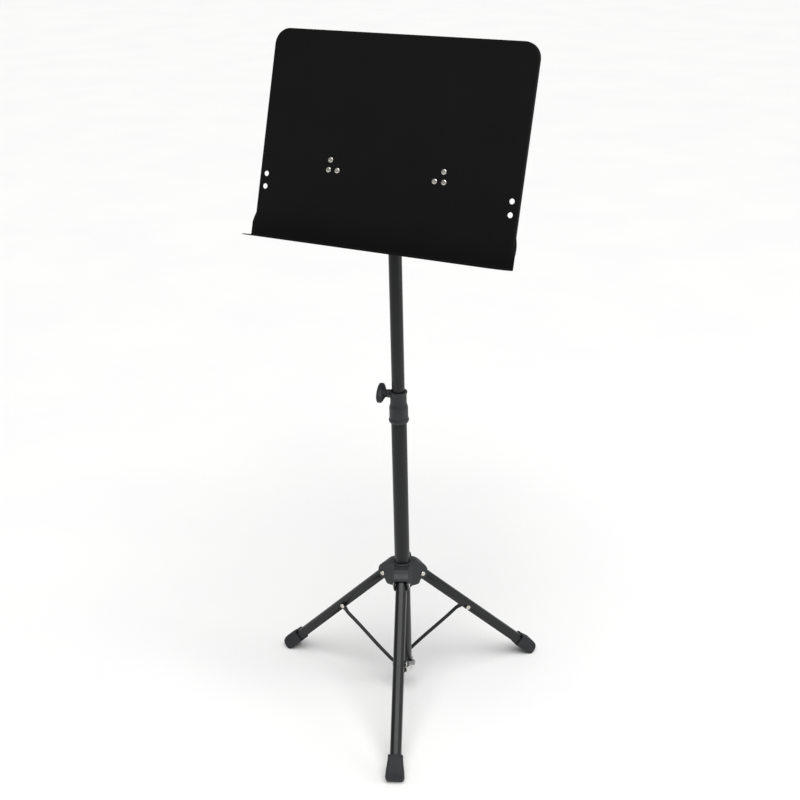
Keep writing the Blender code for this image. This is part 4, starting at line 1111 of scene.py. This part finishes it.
AT_TILT_SCREW = at_column(90.0, z=TILT_SCREW_Z)
hexagon = [Vector((0.0, y, z)) for y, z in bend((0.0, 0.0), 5.6, 30.0, 330.0, 5)]
nut_body = through([[p + Vector((x, 0.0, 0.0)) for p in hexagon] for x in (-16.4, -11.8)])
nut = made("tilt_hex_nut", nut_body, AT_TILT_SCREW)
broken_edges(nut, 0.35)
carve(nut, [round_tool("thread", SCREW_HOLE_R, -20.0, -8.0, AT_TILT_SCREW @ X_IS_UP)])
fitted(nut, rivet_steel, "rivet_steel", "upper_column", "tilt_nut")
washer_body = turned_hollow(wall(7.0, 3.2, 11.8, 13.2, 0.25), 64)
washer = made("tilt_flat_washer", washer_body, AT_TILT_SCREW @ X_IS_UP)
fitted(washer, rivet_steel, "rivet_steel", "upper_column", "tilt_washer")
spin = AT_TILT_SCREW @ Matrix.Rotation(math.pi / 2, 4, "X")
screw = made("tilt_thread", threaded(-18.0, 28.0), spin, sharp=60.0)
fitted(screw, rivet_steel, "rivet_steel", "tilt_clamp", "tilt_screw")
knob = made("tilt_wing_knob", wing_knob(31.6), spin, sharp=50.0)
carve(knob, [round_tool("socket", SCREW_HOLE_R, 10.0, 28.3, spin @ X_IS_UP)])
fitted(knob, nylon, "black_plastic", "tilt_clamp", "tilt_knob")

# %% [markdown]
# ## Small parts inside the tubes
#
# The guide bush, the plug and the two pressure shoes sit inside the column, where little of them is
# seen. Their plain shapes are right as they are, so they only get the nylon finish.

# %% Carried-over parts
for name in ("guide_bush", "tube_plug", "height_shoe", "hub_shoe"):
    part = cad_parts[name]
    part.data.materials.clear()
    part.data.materials.append(nylon)
    part.data.shade_smooth()
    part.data.set_sharp_from_angle(angle=math.radians(32))
    print(name, "keeps its shape")

# %% [markdown]
# ## Studio
#
# The stand is shown as in a catalogue: on a pale floor that runs to the horizon, under one very
# wide soft light nearly overhead, with a weak fill at the right and an even white surround. The
# overhead light draws the bright line down the rounded back of the front leg.

# %% Floor
def floor_disc(radius, sides=96):
    bm = bmesh.new()
    rim = [bm.verts.new(point) for point in ring(radius, 0.0, sides)]
    bm.faces.new(rim)
    return bm


def studio_floor():
    material, tree, shader, place = new_material("pale_studio_floor")
    cloud = add(tree, "TexNoise", {"Scale": 1 / 0.4, "Detail": 2.0}, {"Vector": place})
    colour = colour_ramp(
        tree, cloud.outputs["Fac"], [(0.3, linear("#F3F3F3")), (0.7, linear("#F6F6F5"))]
    )
    tree.links.new(colour, shader.inputs["Base Color"])
    shader.inputs["Roughness"].default_value = 0.85
    return material


floor = made("floor", floor_disc(60000.0), Matrix.Identity(4))
floor.data.materials.append(studio_floor())

# %% Lights
CENTRE = Vector((0.02, 0.0, 0.62))


def soft_light(name, turn, height, distance, size, power):
    """turn is measured from the camera's side, to the right; height is in degrees."""
    light = bpy.data.lights.new(name, "AREA")
    light.shape = "RECTANGLE"
    light.size = size[0]
    light.size_y = size[1]
    light.energy = power
    lamp = bpy.data.objects.new(name, light)
    bpy.context.scene.collection.objects.link(lamp)
    a = math.radians(turn + CAMERA_TURN - 90.0)
    e = math.radians(height)
    away = Vector((math.cos(a) * math.cos(e), math.sin(a) * math.cos(e), math.sin(e)))
    lamp.location = CENTRE + away * distance
    lamp.rotation_euler = (-away).to_track_quat("-Z", "Y").to_euler()
    return lamp


CAMERA_TURN = 28.96
sky = bpy.data.lights.new("overhead_softbox", "SUN")
sky.energy = 2.5
sky.angle = math.radians(50.0)
overhead = bpy.data.objects.new("overhead_softbox", sky)
bpy.context.scene.collection.objects.link(overhead)
overhead.rotation_euler = (math.radians(24.0), 0.0, math.radians(CAMERA_TURN + 10.0))
soft_light("right_fill", 70.0, 20.0, 3.0, (0.8, 2.4), 14.0)
world = bpy.data.worlds.new("studio")
bpy.context.scene.world = world
world.use_nodes = True
world.node_tree.nodes["Background"].inputs["Color"].default_value = linear("#FFFFFF")
world.node_tree.nodes["Background"].inputs["Strength"].default_value = 0.36
bpy.context.scene.view_settings.view_transform = "Standard"

# %% [markdown]
# ## Camera
#
# The camera stands 2.2 m from the column at about head height, to the reader's right, and looks
# down a little. A moderately long lens keeps the sides of the desk nearly parallel.

# %% Camera
CAMERA_DISTANCE = 2170.58
CAMERA_HEIGHT = 1541.70
CAMERA_DOWN = 0.406027
CAMERA_PAN = 0.0012348
CAMERA_ROLL = -0.0227475
CAMERA_LENS = 60.22

around = Matrix.Rotation(math.radians(CAMERA_TURN), 4, "Z")
eye = COLUMN + around @ Vector((0.0, -CAMERA_DISTANCE, CAMERA_HEIGHT))
level_right = Vector((math.cos(CAMERA_PAN), -math.sin(CAMERA_PAN), 0.0))
level_ahead = Vector((math.sin(CAMERA_PAN), math.cos(CAMERA_PAN), 0.0))
ahead = level_ahead * math.cos(CAMERA_DOWN) - Vector((0, 0, 1)) * math.sin(CAMERA_DOWN)
over = level_ahead * math.sin(CAMERA_DOWN) + Vector((0, 0, 1)) * math.cos(CAMERA_DOWN)
right = level_right * math.cos(CAMERA_ROLL) + over * math.sin(CAMERA_ROLL)
up = over * math.cos(CAMERA_ROLL) - level_right * math.sin(CAMERA_ROLL)
axes = Matrix((right, up, -ahead)).transposed().to_4x4()

camera_data = bpy.data.cameras.new("camera")
camera_data.lens = CAMERA_LENS
camera_data.sensor_width = 36.0
camera_data.clip_end = 200.0
camera = bpy.data.objects.new("camera", camera_data)
bpy.context.scene.collection.objects.link(camera)
camera.matrix_world = Matrix.Translation(eye * MM) @ around @ axes
bpy.context.scene.camera = camera
print("camera at", [round(c, 3) for c in camera.matrix_world.translation])
